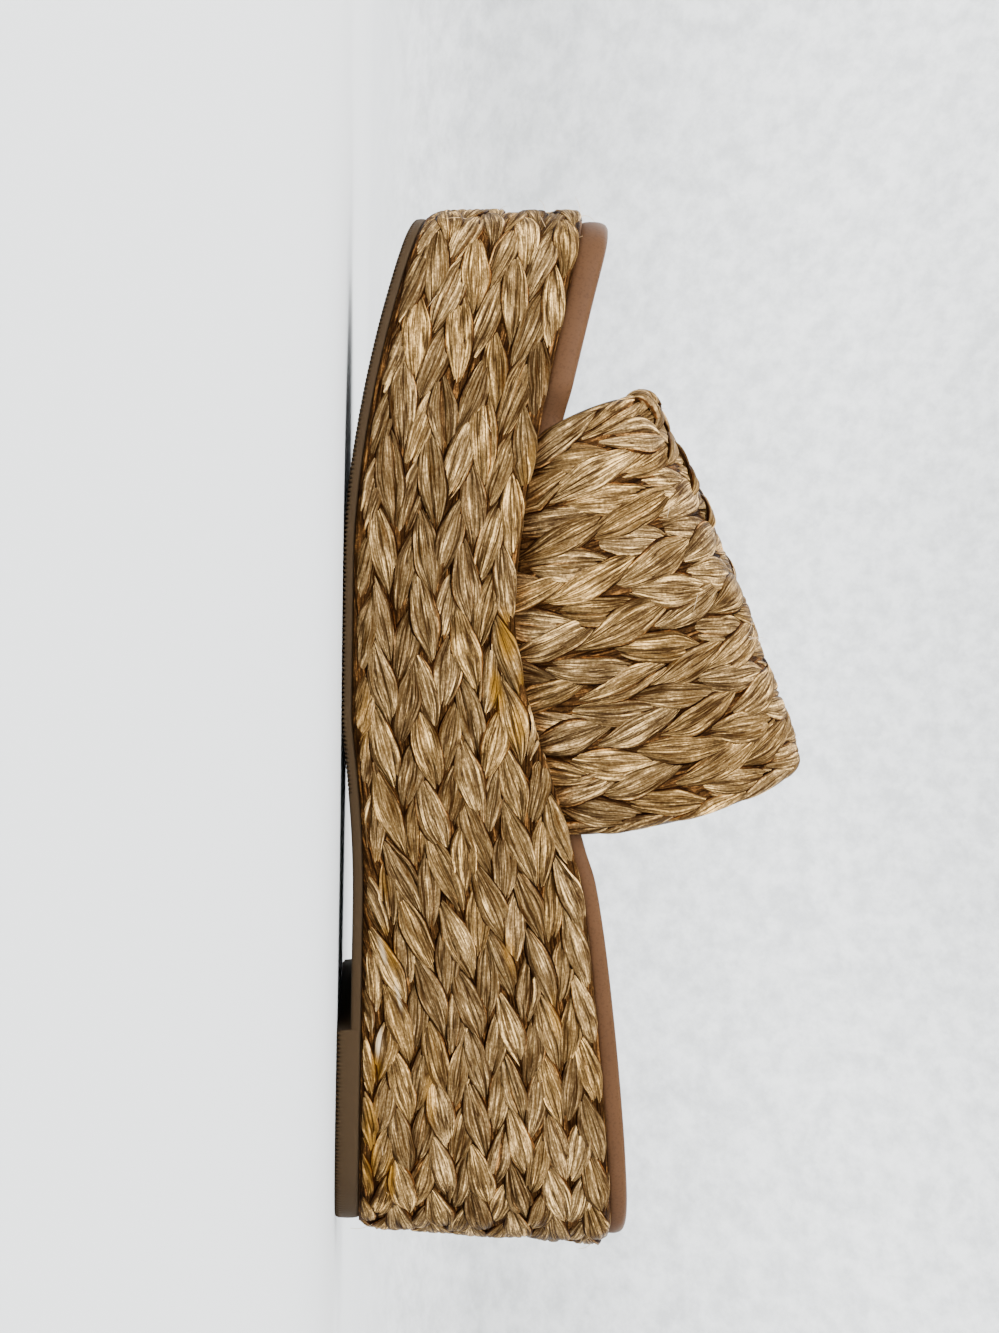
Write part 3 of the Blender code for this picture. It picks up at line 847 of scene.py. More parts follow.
def raffia(name, colours, warmth):
    """Dried leaf: fine fibres along it, its own tone, painted shade where it dives under others and
    painted light on its crown.
    """
    material, tree, shader = new_material(name, 0.5, 0.03)
    shader.inputs["IOR"].default_value = RAFFIA_IOR
    grain = add_node(tree, "ShaderNodeUVMap", {"uv_map": "grain"}).outputs[0]
    fine, broad, blotch, grit = (
        leaf_noise(tree, grain, kind) for kind in ("fine", "broad", "blotch", "grit")
    )
    folds = crease(tree, grain, (0.5, 0.03, 1), 0.05)
    lines = crease(tree, grain, (1.3, 0.06, 1), 0.09)
    tone = field(tree, "tone")
    terms = ((fine, 0.92), (broad, 0.5), (blotch, 0.42), (grit, 0.32), (tone, 0.1))
    level = weighted(tree, terms, STREAK_SHIFT, clamp=True)
    stops = [(at, getattr(colours, streak)) for streak, at in STREAK_STOPS.items()]
    colour = ramp(tree, level, stops)
    own = maths(tree, "FRACT", maths(tree, "MULTIPLY", tone, TINTS_APART))
    colour = tinted(tree, colour, ramp(tree, own, LEAF_TINTS))
    amber = maths(tree, "MULTIPLY", field(tree, "amber"), warmth)
    patchy = leaf_noise(tree, grain, "patches")
    amber = maths(tree, "MULTIPLY", amber, maths(tree, "ADD", patchy, 0.5), clamp=True)
    golden = ramp(tree, level, [(at, scaled(colours.amber, share)) for at, share in AMBER_STOPS])
    colour = mixed(tree, amber, colour, golden)
    colour = mixed(tree, field(tree, "pale"), colour, colours.pale)
    specks = ramp(tree, leaf_noise(tree, grain, "specks"), SPECKS)
    colour = mixed(tree, specks, colour, SPECK_COLOUR)
    # Dark lines along the creases: partly the leaves' darker fibres, partly painted shade in the
    # creases that the bump makes.
    for line, strength in ((folds, 0.9), (lines, 0.42)):
        gap = maths(tree, "MULTIPLY", maths(tree, "SUBTRACT", 1.0, line), strength)
        colour = mixed(tree, gap, colour, colours.dark)
    # Painted shade in the crevices and painted light on the crowns, from the crown field.
    colour = tinted(tree, colour, ramp(tree, field(tree, "crown"), PAINTED_CROWN_LIGHT_AND_SHADE))
    feed(tree, shader.inputs["Roughness"], weighted(tree, ((broad, 0.3),), 0.3))
    ripple = leaf_noise(tree, grain, "ripple")
    terms = ((fine, 0.8), (broad, 0.8), (ripple, 0.3), (folds, 0.7), (lines, 0.3))
    finish_surface(tree, shader, colour, weighted(tree, terms), 1.0, 0.35)
    return material


def object_grain(tree):
    return add_node(tree, "ShaderNodeTexCoord").outputs["Object"]


def leather(name, light, dark):
    """Smooth tan leather: faint pores, clouded colour, a low sheen."""
    material, tree, shader = new_material(name, 0.6, 0.04)
    where = object_grain(tree)
    cloud = noise(tree, where, 60.0, 4.0, 0.6)
    pores = noise(tree, where, 1500.0, 3.0, 0.6)
    colour = mixed(tree, cloud, dark, light)
    colour = tinted(tree, colour, ramp(tree, pores, ((0.34, 0.75), (0.5, 1.0))))
    finish_surface(tree, shader, colour, pores, 0.35, 0.08)
    return material


def rubber(name, colour):
    """Matte moulded rubber with dust in its pores."""
    material, tree, shader = new_material(name, 0.75, 0.08)
    where = object_grain(tree)
    cloud = noise(tree, where, 45.0, 5.0, 0.65)
    dust = noise(tree, where, 900.0, 3.0, 0.6)
    level = weighted(tree, ((cloud, 0.7), (dust, 0.3)))
    finish_surface(tree, shader, mixed(tree, level, scaled(colour, 0.62), colour), dust, 0.5, 0.1)
    return material


# ---------------------------------------------------------------- settings
class SandalShape(bpy.types.PropertyGroup):
    """How the plaits and the sole are formed."""

    uneven: FloatProperty(
        name="Unevenness",
        description="How much the leaves of the plaits differ from each other",
        default=1.0,
        min=0.0,
        max=2.0,
        subtype="FACTOR",
    )
    wrap_leaves: IntProperty(
        name="Wrap leaves",
        description="Leaves of one kind in a plait once round the wedge",
        default=WRAP_LEAF_COUNT,
        min=20,
        max=80,
    )
    band_pitch: FloatProperty(
        name="Band pitch",
        description="Distance from one leaf to the next in the band, in millimetres",
        default=BAND_PITCH,
        min=8.0,
        max=40.0,
    )
    rib_depth: FloatProperty(
        name="Rib depth",
        description="Depth of the outsole's ribs",
        default=0.6 * MM,
        min=0.0,
        max=1.0 * MM,
        unit="LENGTH",
        subtype="DISTANCE",
    )
    fibres: IntProperty(
        name="Loose fibres",
        description="Fine fibres that stand off the plaits",
        default=110,
        min=0,
        max=400,
    )
    seed: IntProperty(
        name="Seed", description="Start of the random choices", default=7, min=0, max=9999
    )


def colour_property(name, description, default):
    return FloatVectorProperty(
        name=name,
        description=description,
        default=default,
        min=0.0,
        max=1.0,
        subtype="COLOR",
    )


class SandalColours(bpy.types.PropertyGroup):
    """Colours of raffia, leather and rubber."""

    dark: colour_property("Dark raffia", "Raffia in the deepest streaks", (0.013, 0.0042, 0.0007))
    brown: colour_property("Brown raffia", "Raffia in its darker streaks", (0.041, 0.0165, 0.0022))
    straw: colour_property("Straw raffia", "Most of the raffia", (0.095, 0.0585, 0.023))
    light: colour_property("Light raffia", "Raffia in its lighter streaks", (0.245, 0.154, 0.067))
    # The palest streaks are partly pale raffia, partly a painted highlight for the satin sheen.
    cream: colour_property("Pale raffia", "The palest streaks and leaves", (1.0, 0.64, 0.25))
    amber: colour_property("Amber", "Raffia where it is stained on the wrap", (0.24, 0.115, 0.014))
    # Also the colour of one painted highlight line on the wrap.
    pale: colour_property("Bleached raffia", "The few bleached scraps", (0.6, 0.45, 0.27))
    lining: colour_property("Lining", "Inside of the band", (0.05, 0.026, 0.012))
    leather: colour_property("Footbed", "Leather of the footbed", (0.062, 0.029, 0.0128))
    leather_dark: colour_property("Footbed shade", "Its darker clouds", (0.041, 0.0185, 0.0078))
    rubber: colour_property("Outsole", "Rubber of the outsole", (0.029, 0.0168, 0.007))


class SandalStage(bpy.types.PropertyGroup):
    """Floor, lights and camera."""

    # The floor's and wall's colours carry painted light: the floor darker, as it gets more light,
    # the wall paler, as it gets less.
    backdrop: colour_property("Floor", "Colour of the floor", (0.53, 0.54, 0.545))
    wall: colour_property("Wall", "Colour of the wall", (0.97, 0.985, 0.99))
    key: FloatProperty(
        name="Key light", description="Power of the large soft light", default=58.0, unit="POWER"
    )
    fill: FloatProperty(
        name="Fill light", description="Power of each other light", default=17.0, unit="POWER"
    )
    world: FloatProperty(
        name="World", description="Strength of the light from all round", default=0.55, min=0.0
    )


# ---------------------------------------------------------------- operators
def settings(context):
    scene = context.scene
    return scene.sandal_shape, scene.sandal_colours, scene.sandal_stage


RaffiaColours = namedtuple("RaffiaColours", "dark brown straw light cream amber pale")


def raffia_colours(colours, lift=1.0):
    """The settings' colours of raffia, all lighter or darker by one factor."""
    return RaffiaColours(*(scaled(getattr(colours, name), lift) for name in RaffiaColours._fields))


COUNT_RUNS = 1201


def count_table():
    """How many leaves fit up to each run round the wedge, for one leaf in all."""
    runs = np.linspace(0, ROUND, COUNT_RUNS)
    pitch = HEEL_PITCH_SHARE + (1 - HEEL_PITCH_SHARE) * (1 - np.cos(2 * np.pi * runs / ROUND)) / 2
    counts = np.append(0, np.cumsum(np.diff(runs) * 2 / (pitch[1:] + pitch[:-1])))
    return runs, counts / counts[-1]


COURSE_MIDDLE = 4           # the row of a course that is near a leaf's middle
SPARE_BELOW = 0.22          # a leaf stays where its middle is this much beyond sole or deck
SPARE_ABOVE = 0.34
FOOT_PAINTED_SHADE = 0.35            # painted shade: the crown's light where the band's leaves dive behind the wrap
FOOT_PAINTED_SHADE_REACH = 9.0


def wrap_plait(k, shape, rng):
    """One plait right round the wedge."""
    runs, shares = count_table()
    leaves = shape.wrap_leaves
    parts = []
    for leaf in WRAP_LEAVES:
        offset = np.interp(WRAP_STARTS[k], runs, shares) * leaves + leaf.delay
        places = np.mod(np.arange(leaves) + offset, leaves) / leaves
        starts = np.interp(places, shares, runs)
        ends = np.interp(np.mod(places + 1 / leaves, 1.0), shares, runs)
        pitches = np.mod(ends - starts, ROUND)
        lowest, highest = wrap_rows(outline(turn_at(starts + pitches * leaf.length / 2))[1])
        middle = k + 0.5 + leaf.course[COURSE_MIDDLE].row
        keep = (middle > lowest - SPARE_BELOW) & (middle < highest + SPARE_ABOVE)
        starts, pitches = starts[keep], pitches[keep]
        parts.append(leaf_tubes(wrap_surface, starts, k, leaf, pitches, shape.uneven, rng))
    return merge_meshes(parts)


def finish_leaves(name, parts, material, node):
    """Make a plait's piece and hide the frame's solid that it stands for."""
    points, faces, fields, grain = parts
    on_wrap = node == "wedge"
    run, row = fields.pop("run"), fields.pop("row")
    fields["amber"] = stain_field(run, row, AMBER_STAINS if on_wrap else ())
    fields["pale"] = stain_field(run, row, PALE_SCRAPS_AND_HIGHLIGHT if on_wrap else ())
    if not on_wrap:
        # Painted shade where the band's leaves dive behind the wrap.
        from_foot = ease(np.minimum(run, band_length(0.5) - run) / FOOT_PAINTED_SHADE_REACH)
        fields["crown"] = fields["crown"] * (FOOT_PAINTED_SHADE + (1 - FOOT_PAINTED_SHADE) * from_foot)
    declare(piece_mesh(name, points, faces, material, fields, grain), node)


CORE_OUT = 0.7              # the strands under the leaves, against where the leaves' base is
EDGE_FILL = 0.9             # how much further out they are at deck and sole
EDGE_FILL_ROWS = 0.25
CORE_PAINTED_SHADE = 0.16           # painted shade: how dark they are drawn, as a leaf's crown
CORE_PLAIT = 9.0            # millimetres of grain to a plait
CORE_RINGS = 40
CORE_POINTS = 480
BAND_LIFT = 0.94            # the band's colours against the wrap's
BAND_UNEVEN = 1.4           # its leaves are less even than the wrap's
SHELL_ROWS = 61
SHELL_COLUMNS = 121
LINING_SHADE = 0.6          # the lining's darker clouds against its colour


def even_fields(count, crown):
    """The fields of raffia that has no leaves of its own and no stains; its crown field gives its
    painted shade.
    """
    return {
        "tone": np.full(count, 0.5),
        "crown": np.full(count, crown),
        "amber": np.zeros(count),
        "pale": np.zeros(count),
    }


class SANDAL_OT_wedge(bpy.types.Operator):
    """Wrap the wedge in raffia plaits over a core painted dark as shade"""

    bl_idname = "sandal.wedge"
    bl_label = "Wedge"

    def execute(self, context):
        shape, colours, _ = settings(context)
        rng = np.random.default_rng(shape.seed)
        material = raffia("wrap_raffia", raffia_colours(colours), 1.0)
        for k in sorted(WRAP_STARTS):
            parts = wrap_plait(k, shape, rng)
            finish_leaves(f"wrap_plait_{k + 2}", parts, material, "wedge")
        self.core(material)
        return {"FINISHED"}

    def core(self, material):
        """The strands that show between the leaves, painted dark as shade."""
        runs = np.linspace(0, ROUND, CORE_POINTS, endpoint=False)
        station = outline(turn_at(runs))[1]
        lowest, highest = wrap_rows(station)
        steps = np.linspace(0, 1, CORE_RINGS)[:, None]
        rows = lowest + (highest - lowest) * steps
        from_edge = np.minimum(rows - lowest, highest - rows)
        fill = EDGE_FILL * (1 - ease(from_edge / EDGE_FILL_ROWS))
        points = wrap_surface(runs[None, :], rows, CORE_OUT + fill)
        points[0, :, 2] = tread(station) + SHEET
        faces = stack_faces(*points.shape[:2])
        grain = np.stack(np.broadcast_arrays(CORE_PLAIT * rows, runs[None, :]), -1).reshape(-1, 2)
        fields = even_fields(len(grain), CORE_PAINTED_SHADE)
        core = piece_mesh("wedge_core", points.reshape(-1, 3), faces, material, fields, grain)
        declare(core, "wedge")


def band_places(first, length, pitch):
    """Where the leaves of one kind start along a plait of the band, and their pitches."""
    starts, pitches = [], []
    start = first
    while start < length:
        ridge = math.exp(-(((start + pitch / 2 - length / 2) / RIDGE_REACH) ** 2))
        here = pitch * (1 - RIDGE_SHORTER * ridge)
        if start > LOWEST_START:
            starts.append(start)
            pitches.append(here)
        start += here
    return np.array(starts), np.array(pitches)


class SANDAL_OT_band(bpy.types.Operator):
    """Lay the band of plaits over the instep, with its lining"""

    bl_idname = "sandal.band"
    bl_label = "Band"

    def execute(self, context):
        shape, colours, _ = settings(context)
        uneven = BAND_UNEVEN * shape.uneven
        rng = np.random.default_rng(shape.seed + 100)
        material = raffia("band_raffia", raffia_colours(colours, BAND_LIFT), 0.0)
        for k in range(BAND_PLAITS):
            parts = []
            length = float(band_length(np.clip(band_share(k + 0.5), 0, 1)))
            for leaf in BAND_LEAVES:
                first = BAND_STARTS[k] + (leaf.delay - 2) * shape.band_pitch
                starts, pitches = band_places(first, length, shape.band_pitch)
                parts.append(leaf_tubes(band_surface, starts, k, leaf, pitches, uneven, rng))
            name = f"band_plait_{k + 1}"
            finish_leaves(name, merge_meshes(parts), material, "upper")
        self.ridge(shape, rng, material)
        self.shell(colours, material)
        return {"FINISHED"}

    def ridge(self, shape, rng, material):
        """Short leaves that cross the others where the plaits bend, and a knot of them."""
        uneven = shape.uneven
        parts = []
        for leaf in RIDGE_LEAVES:
            rows = rng.uniform(*RIDGE_ROWS, RIDGE_COUNT)
            shares = np.clip(band_share(rows + 0.5), 0, 1)
            line = band_length(shares) / 2 + RIDGE_REAR - RIDGE_BEND * shares**RIDGE_POWER
            starts = line + rng.uniform(-RIDGE_INNER, RIDGE_OUTER, RIDGE_COUNT)
            pitches = shape.band_pitch * rng.uniform(*RIDGE_PITCHES, RIDGE_COUNT)
            parts.append(leaf_tubes(band_surface, starts, rows, leaf, pitches, uneven, rng))
        for mirror in (1, -1):
            rows, aside = np.array([leaf[:2] for leaf in KNOT_LEAVES if leaf[2] == mirror]).T
            starts = band_length(1.0) / 2 + aside
            leaf, pitch = KNOT_LEAF._replace(mirror=mirror), shape.band_pitch
            parts.append(leaf_tubes(band_surface, starts, rows, leaf, pitch, uneven, rng))
        finish_leaves("band_ridge", merge_meshes(parts), material, "upper")

    def shell(self, colours, material):
        """The lining inside, and outside it the strands between the leaves, painted dark as shade.
        """
        shares, parts = np.meshgrid(
            np.linspace(0, 1, SHELL_ROWS), np.linspace(0, 1, SHELL_COLUMNS), indexing="ij"
        )
        rows = (shares - 0.5) / BAND_ROW_SHARE + BAND_PLAITS / 2
        runs = parts * band_length(shares)
        outer = band_surface(runs, rows, CORE_OUT)
        inner = band_inside(shares, band_arc(shares, parts))
        faces = self.shell_faces(SHELL_ROWS, SHELL_COLUMNS)
        outside = (SHELL_ROWS - 1) * (SHELL_COLUMNS - 1)
        grain = np.stack([CORE_PLAIT * rows, runs], -1).reshape(-1, 2)
        grain = np.concatenate([grain, grain])
        lining = piece_mesh(
            "band_lining",
            np.concatenate([outer.reshape(-1, 3), inner.reshape(-1, 3)]),
            faces,
            leather("lining", colours.lining, scaled(colours.lining, LINING_SHADE)),
            even_fields(len(grain), CORE_PAINTED_SHADE),
            grain,
            second=material,
            parts=(np.arange(len(faces)) < outside).astype(np.int32),
        )
        declare(lining, "upper")

    def shell_faces(self, rows, columns):
        """Outer faces first, then the inner ones, then those round the border."""
        outer = grid_faces(rows, columns, closed=False)
        inner = outer[:, ::-1] + rows * columns
        faces = outer.tolist() + inner.tolist()
        half = rows * columns
        border = list(range(columns)) + [r * columns + columns - 1 for r in range(1, rows)]
        border += list(range(half - 2, half - columns - 1, -1))
        border += [r * columns for r in range(rows - 2, 0, -1)]
        for here, after in zip(border, border[1:] + border[:1]):
            faces.append([after, here, here + half, after + half])
        return faces


FIBRE_STEPS = 9
FIBRE_SIDES = 4
FIBRE_RADIUS = 0.075
FIBRE_TAPER = 0.6           # how much thinner its tip is
FIBRE_LENGTHS = (2.5, 8.0)
FIBRE_RISES = (0.15, 0.9)   # angle from the plait
FIBRE_DROOP = 0.35
FIBRE_BEND = 0.5
FIBRE_BASE = 0.8            # how far out of the plaits' base it is rooted
# Painted light and shade: how light the fibres are drawn, as a leaf's crown.
FIBRE_PAINTED_SHADE = 0.55
TOE_END = (0.5, 0.05)       # share of the way round the wedge, and how far fibres spread
HEEL_END = (0.0, 0.06)
TOE_SHARE = 0.6             # share of the wrap's fibres that stand at the toe
FIBRE_SPREAD = 0.7          # angle that they lie off the plait's direction
WRAP_ROWS = (0.5, 0.35)     # exponents that gather them at the first and last plaits
BAND_ROWS = (0.6, 0.6)
BAND_RUNS = (0.5, 0.14)     # share of the way over the foot, and how far they spread
BAND_RUN_LIMITS = (0.08, 0.92)


def fibre_tubes(surface, run, row, rng):
    """Thin closed tubes that stand off a surface at the given places."""
    count = len(run)
    base = surface(run, row, FIBRE_BASE)
    up = unit(surface(run, row, FIBRE_BASE + 1.0) - base)
    along = unit(surface(run + 0.5, row, FIBRE_BASE) - surface(run - 0.5, row, FIBRE_BASE))
    side = unit(np.cross(up, along))
    turn = rng.normal(0, FIBRE_SPREAD, (count, 1)) + np.pi * rng.integers(0, 2, (count, 1))
    onward = along * np.cos(turn) + side * np.sin(turn)
    beside = unit(np.cross(onward, up))
    rise = rng.uniform(*FIBRE_RISES, (count, 1, 1))
    length = rng.uniform(*FIBRE_LENGTHS, (count, 1, 1))
    bend = rng.uniform(-FIBRE_BEND, FIBRE_BEND, (count, 1, 1))
    s = np.linspace(0, 1, FIBRE_STEPS)[None, :, None]
    centre = base[:, None] + length * s * (np.cos(rise) * onward[:, None])
    centre = centre + length * (s * np.sin(rise) - FIBRE_DROOP * s**2) * up[:, None]
    centre = centre + length * bend * s**2 * beside[:, None]
    radius = FIBRE_RADIUS * (1 - FIBRE_TAPER * s[..., None])
    corner = (np.arange(FIBRE_SIDES) * 2 * np.pi / FIBRE_SIDES)[None, None, :, None]
    ring = np.cos(corner) * beside[:, None, None] + np.sin(corner) * up[:, None, None]
    points = (centre[:, :, None] + radius * ring).reshape(-1, 3)
    fields = even_fields(len(points), FIBRE_PAINTED_SHADE)
    fields["tone"] = np.repeat(rng.uniform(0, 1, count), FIBRE_STEPS * FIBRE_SIDES)
    grain = np.stack([rng.uniform(0, GRAIN_SPREAD, len(points)), fields["pale"]], -1)
    return points, tube_faces(count, FIBRE_STEPS, FIBRE_SIDES), fields, grain


class SANDAL_OT_fibres(bpy.types.Operator):
    """Add the fine loose fibres that stand off the wrap and the band"""

    bl_idname = "sandal.fibres"
    bl_label = "Loose fibres"

    def execute(self, context):
        shape, _, _ = settings(context)
        rng = np.random.default_rng(shape.seed + 200)
        count = shape.fibres // 2
        if count == 0:
            return {"FINISHED"}
        at_toe = rng.uniform(0, 1, count) < TOE_SHARE
        run = np.where(at_toe, rng.normal(*TOE_END, count), rng.normal(*HEEL_END, count))
        run = np.mod(run, 1) * ROUND
        station = outline(turn_at(run))[1]
        lowest, highest = wrap_rows(station)
        row = lowest + (highest - lowest) * rng.beta(*WRAP_ROWS, count)
        self.piece("wrap_fibres", wrap_surface, run, row, rng, "wedge", "wrap_raffia")
        row = BAND_PLAITS * rng.beta(*BAND_ROWS, count)
        length = band_length(np.clip(band_share(row), 0, 1))
        run = length * np.clip(rng.normal(*BAND_RUNS, count), *BAND_RUN_LIMITS)
        self.piece("band_fibres", band_surface, run, row, rng, "upper", "band_raffia")
        return {"FINISHED"}

    def piece(self, name, surface, run, row, rng, node, slot):
        """The fibres at the given places, in the finish of the plaits that they stand on."""
        points, faces, fields, grain = fibre_tubes(surface, run, row, rng)
        fibres = piece_mesh(name, points, faces, bpy.data.materials[slot], fields, grain)
        declare(fibres, node)


# How far in a ring lies, in millimetres, and its share of the height, from below to the top.
FOOTBED_RIM = (
    (0.9, 0.0), (0.45, 0.06), (0.15, 0.2), (0.02, 0.36), (0.0, 0.5), (0.06, 0.64), (0.25, 0.78),
    (0.6, 0.88), (1.1, 0.95), (1.8, 0.985), (2.6, 1.0), (5.0, 0.995), (8.0, 0.985), (12.0, 0.97),
)
OUTSOLE_RIM = (
    (1.0, 0.0), (0.55, 0.02), (0.2, 0.12), (0.1, 0.28), (0.0, 0.5), (0.0, 0.75), (0.1, 0.92),
    (0.3, 1.0),
)
FOOTBED_POINTS = 241        # along one side
RIB_PITCH = 1.0
RIB_REAR = 115.0            # the tread has ribs from here to the toe, and on the heel's lift
RIB_SHARP = 1.6             # the ribs are rounded waves, cut off above and below
RIB_SHIFT = 0.3
RIB_FADE = 2.5              # how soon they run out up the sheet's edge
RIB_STEP = 0.2              # from one point of the outline to the next
OUTSOLE_POINTS = 361
LIFT_EASE = 0.25            # the lift's front lies this much before its station


def insole_inset(station):
    """The footbed's edge moves in where the band stands beside it."""
    rear = BAND[0].outer_foot - TUCK_EASE
    front = BAND[-1].inner_foot + TUCK_FRONT + TUCK_EASE
    tuck = ease((station - rear) / TUCK_EASE) * ease((front - station) / TUCK_EASE)
    return INSOLE_INSET + (INSOLE_TUCK - INSOLE_INSET) * tuck


def both_sides(half_turns):
    """A ring of angles whose halves face each other, from those of the inner side."""
    inner = np.unique(np.round(half_turns[(half_turns > 1e-4) & (half_turns < np.pi - 1e-4)], 7))
    return np.concatenate([[0.0], inner, [np.pi], (2 * np.pi - inner)[::-1]])


class SANDAL_OT_footbed(bpy.types.Operator):
    """Make the leather footbed that follows the deck"""

    bl_idname = "sandal.footbed"
    bl_label = "Footbed"

    def execute(self, context):
        _, colours, _ = settings(context)
        turns = both_sides(np.linspace(0, np.pi, FOOTBED_POINTS))
        edge_side, edge_station = outline(turns)
        across, along = outline_normal(turns)
        rings = []
        for inset, share in FOOTBED_RIM:
            out = -(insole_inset(edge_station) + inset)
            station = edge_station + along * out
            height = deck(station) + GAP + LAST_AT["insole"](station) * share
            rings.append(place(edge_side + across * out, station, height))
        points, faces = np.concatenate(rings), stack_faces(len(rings), len(turns))
        material = leather("footbed_leather", colours.leather, colours.leather_dark)
        footbed = piece_mesh("footbed", points, faces, material)
        declare(footbed, "insole")
        return {"FINISHED"}


class SANDAL_OT_outsole(bpy.types.Operator):
    """Make the rubber outsole with its fine ribs and the lift under the heel"""

    bl_idname = "sandal.outsole"
    bl_label = "Outsole"

    def execute(self, context):
        shape, colours, _ = settings(context)
        spaced = turn_of(np.arange(0.0, LENGTH, RIB_STEP))
        turns = both_sides(np.concatenate([spaced, np.linspace(0, np.pi, OUTSOLE_POINTS)]))
        edge_side, edge_station = outline(turns)
        across, along = outline_normal(turns)
        lifted = edge_station < LIFT_FRONT + LIFT_EASE
        ribbed = lifted | (edge_station > RIB_REAR)
        wave = 0.5 + 0.5 * np.cos(2 * np.pi * edge_station / RIB_PITCH)
        grooves = shape.rib_depth / MM * ease(RIB_SHARP * wave - RIB_SHIFT) * ribbed
        rings = []
        for inset, share in OUTSOLE_RIM:
            out = -(SIDE_FLARE + SHEET_INSET + inset)
            station = edge_station + along * out + heel_lean(edge_station)
            low = np.where(lifted, 0.0, tread(station))
            high = tread(station) + SHEET
            height = low + (high - low) * share + grooves * max(0.0, 1 - RIB_FADE * share)
            rings.append(place(edge_side + across * out, station, height))
        points, faces = np.concatenate(rings), stack_faces(len(rings), len(turns))
        sole = piece_mesh("sole_sheet", points, faces, rubber("sole_rubber", colours.rubber))
        declare(sole, "outsole")
        return {"FINISHED"}


# The stage is in metres. The camera lies on its side, low beside the sandal.
CAMERA_PLACE = (0.2657, -0.0156, 0.006)
CAMERA_TURN = math.radians(4.0)
CAMERA_ROLL = math.radians(0.91)
CAMERA_LENS = 27.5          # millimetres, on film of the width below
CAMERA_FILM = 36.0
CAMERA_SHIFT = 0.045
CAMERA_NEAREST = 0.01
FLOOR_RADIUS = 1.0
WALL_BEND = 0.5
WALL_HEIGHT = 2.0
BEND_LINES = 16
BACKDROP_SIDES = 96
WORLD_COLOUR = (1.0, 1.0, 0.99)

Lamp = namedtuple("Lamp", "name power size place target")


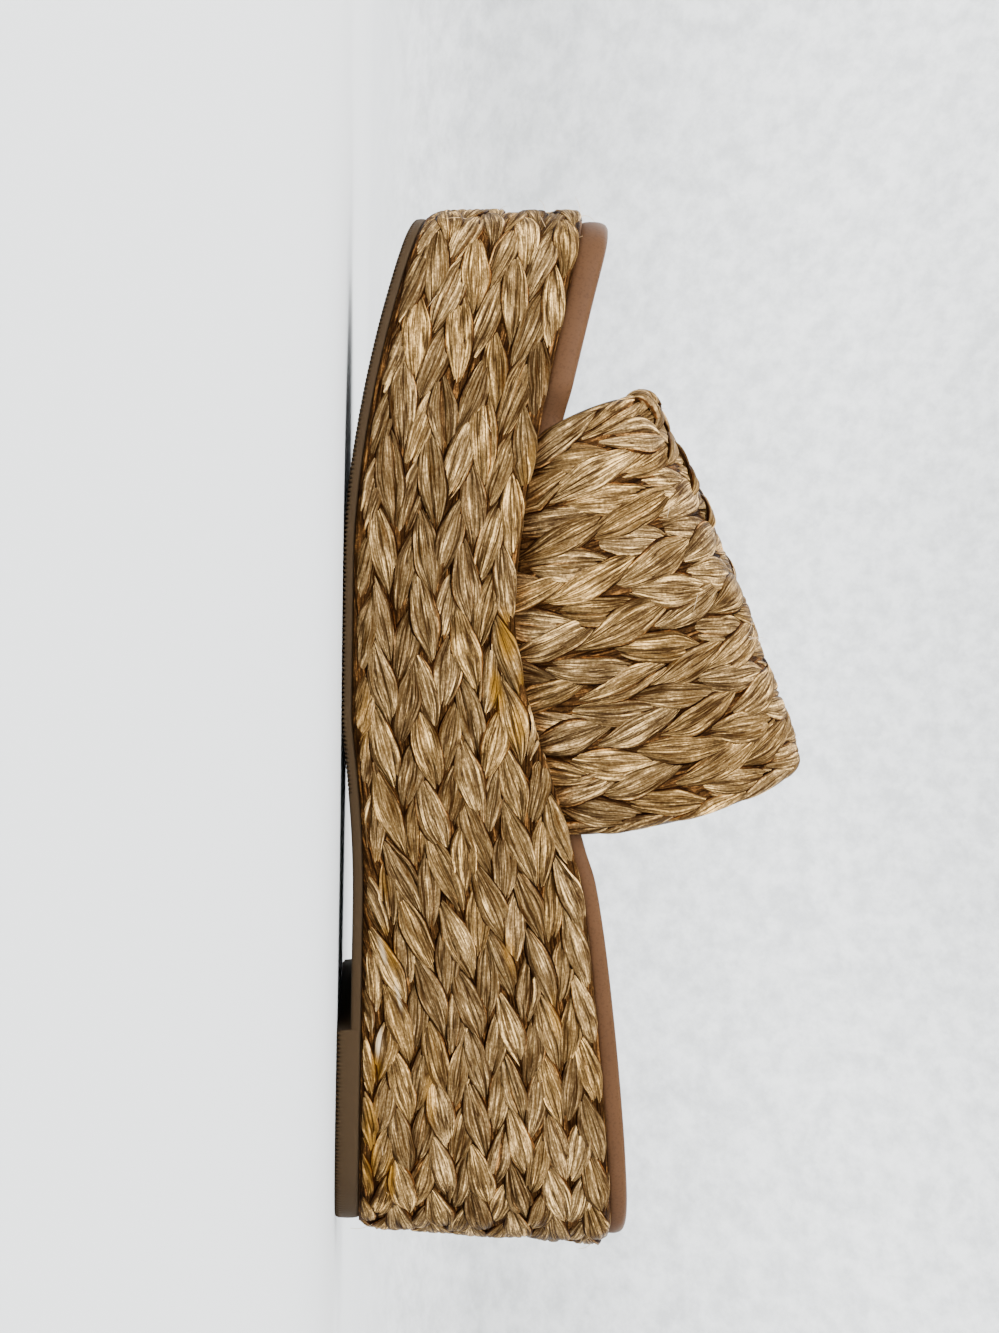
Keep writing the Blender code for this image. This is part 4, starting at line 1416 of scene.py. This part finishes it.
class SANDAL_OT_stage(bpy.types.Operator):
    """Set up the backdrop, the lights and the camera"""

    bl_idname = "sandal.stage"
    bl_label = "Stage"

    def execute(self, context):
        _, _, stage = settings(context)
        self.backdrop(stage)
        self.lights(context, stage)
        self.camera(context)
        return {"FINISHED"}

    def backdrop(self, stage):
        """A floor that curves up into a wall all round."""
        curve = np.linspace(0, np.pi / 2, BEND_LINES)
        bend = FLOOR_RADIUS + WALL_BEND * np.sin(curve)
        radii = np.concatenate([[0.02, 0.5], bend, [FLOOR_RADIUS + WALL_BEND]])
        heights = np.concatenate([[0, 0], WALL_BEND * (1 - np.cos(curve)), [WALL_HEIGHT]])
        angles = np.linspace(0, 2 * np.pi, BACKDROP_SIDES, endpoint=False)
        x = radii[:, None] * np.cos(angles)
        y = radii[:, None] * np.sin(angles)
        z = np.broadcast_to(heights[:, None], x.shape)
        points = np.stack([x, y, z], -1).reshape(-1, 3) / MM
        faces = grid_faces(len(radii), len(angles)).tolist()
        faces.append(list(range(len(angles)))[::-1])
        faces = [face[::-1] for face in faces]
        finish = self.backdrop_finish(stage)
        piece_mesh("backdrop", points, faces, finish, closed=False)

    def backdrop_finish(self, stage):
        """Plain floor, painted darker as it gets more light; the wall is faintly clouded, and
        painted paler, as it gets less light.
        """
        material, tree, shader = new_material("backdrop", 0.9, 0.1)
        where = add_node(tree, "ShaderNodeSeparateXYZ", Vector=object_grain(tree))
        shade = ramp(tree, where.outputs["Z"], ((0.02, stage.backdrop), (0.8, stage.wall)))
        cloud = noise(tree, object_grain(tree), 28.0, 6.0, 0.7)
        cloud = ramp(tree, cloud, ((0.36, (0.74, 0.745, 0.75)), (0.62, (1.0, 1.0, 1.0))))
        rise = ramp(tree, where.outputs["Z"], ((0.0, 0.0), (0.06, 1.0)))
        cloud = mixed(tree, rise, (0.9, 0.905, 0.91), cloud)
        feed(tree, shader.inputs["Base Color"], tinted(tree, shade, cloud))
        return material

    def lights(self, context, stage):
        """Square soft lamps that look at the sandal, and a weak light from all round."""
        lamps = (
            Lamp("key", stage.key, 0.6, (0.9, -0.65, 0.75), (0, 0, 0.05)),
            Lamp("side", stage.fill, 0.9, (0.9, 0.8, 0.35), (0, 0, 0.05)),
            Lamp("top", stage.fill, 1.2, (0.0, 0.0, 1.5), (0, 0, 0)),
            Lamp("far_toe", stage.fill, 0.9, (-0.75, -0.7, 0.7), (0, 0, 0.05)),
            Lamp("far_heel", stage.fill, 0.9, (-0.75, 0.7, 0.7), (0, 0, 0.05)),
        )
        for lamp in lamps:
            light = bpy.data.lights.new(lamp.name, "AREA")
            light.energy = lamp.power
            light.size = lamp.size
            holder = bpy.data.objects.new(lamp.name, light)
            holder.location = lamp.place
            aim = Vector(lamp.target) - Vector(lamp.place)
            holder.rotation_euler = aim.to_track_quat("-Z", "Y").to_euler()
            context.scene.collection.objects.link(holder)
        world = bpy.data.worlds.new("studio")
        world.use_nodes = True
        background = world.node_tree.nodes["Background"]
        feed(world.node_tree, background.inputs["Color"], WORLD_COLOUR)
        feed(world.node_tree, background.inputs["Strength"], stage.world)
        context.scene.world = world

    def camera(self, context):
        """It looks across the sandal and a little up, with the toe upwards in its view."""
        camera = bpy.data.cameras.new("camera")
        camera.lens = CAMERA_LENS
        camera.sensor_width = CAMERA_FILM
        camera.clip_start = CAMERA_NEAREST
        camera.shift_x = CAMERA_SHIFT
        holder = bpy.data.objects.new("camera", camera)
        forward = Vector((-math.cos(CAMERA_TURN), 0.0, math.sin(CAMERA_TURN)))
        right = Vector((0.0, -math.sin(CAMERA_ROLL), math.cos(CAMERA_ROLL)))
        right = (right - forward * right.dot(forward)).normalized()
        up = right.cross(forward)
        basis = Matrix((right, up, -forward)).transposed()
        holder.matrix_world = Matrix.Translation(CAMERA_PLACE) @ basis.to_4x4()
        context.scene.collection.objects.link(holder)
        context.scene.camera = holder


class SANDAL_PT_panel(bpy.types.Panel):
    """The sandal's settings and steps"""

    bl_idname = "SANDAL_PT_panel"
    bl_label = "Platform wedge sandal"
    bl_space_type = "VIEW_3D"
    bl_region_type = "UI"
    bl_category = "Sandal"

    def draw(self, context):
        for group in settings(context):
            box = self.layout.box()
            for name in group.__annotations__:
                box.prop(group, name)
        for operator in OPERATORS:
            self.layout.operator(operator.bl_idname)


OPERATORS = (
    SANDAL_OT_wedge,
    SANDAL_OT_band,
    SANDAL_OT_fibres,
    SANDAL_OT_footbed,
    SANDAL_OT_outsole,
    SANDAL_OT_stage,
)
TABLE_SLACK = 2.0           # millimetres between a solid's height and that of its table
GROUPS = {
    "sandal_shape": SandalShape,
    "sandal_colours": SandalColours,
    "sandal_stage": SandalStage,
}


def register():
    for group in GROUPS.values():
        bpy.utils.register_class(group)
    for name, group in GROUPS.items():
        setattr(bpy.types.Scene, name, PointerProperty(type=group))
    for operator in OPERATORS:
        bpy.utils.register_class(operator)
    bpy.utils.register_class(SANDAL_PT_panel)


def unregister():
    bpy.utils.unregister_class(SANDAL_PT_panel)
    for operator in reversed(OPERATORS):
        bpy.utils.unregister_class(operator)
    for name, group in reversed(GROUPS.items()):
        delattr(bpy.types.Scene, name)
        bpy.utils.unregister_class(group)


def check_tables():
    """The tables here have to be those of the frame's own pieces."""
    insole_top = deck(0.0) + GAP + LAST[0].insole
    for node, top in (("upper", BAND[0].height), ("insole", insole_top)):
        _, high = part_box(node)
        if abs(high.z / MM - top) > TABLE_SLACK:
            raise RuntimeError(f"{node} is {high.z / MM:.1f} mm high and should be {top:.1f} mm")


def main():
    register()
    check_tables()
    bpy.ops.sandal.wedge()
    bpy.ops.sandal.band()
    bpy.ops.sandal.fibres()
    bpy.ops.sandal.footbed()
    bpy.ops.sandal.outsole()
    bpy.ops.sandal.stage()


if __name__ == "__main__":
    main()
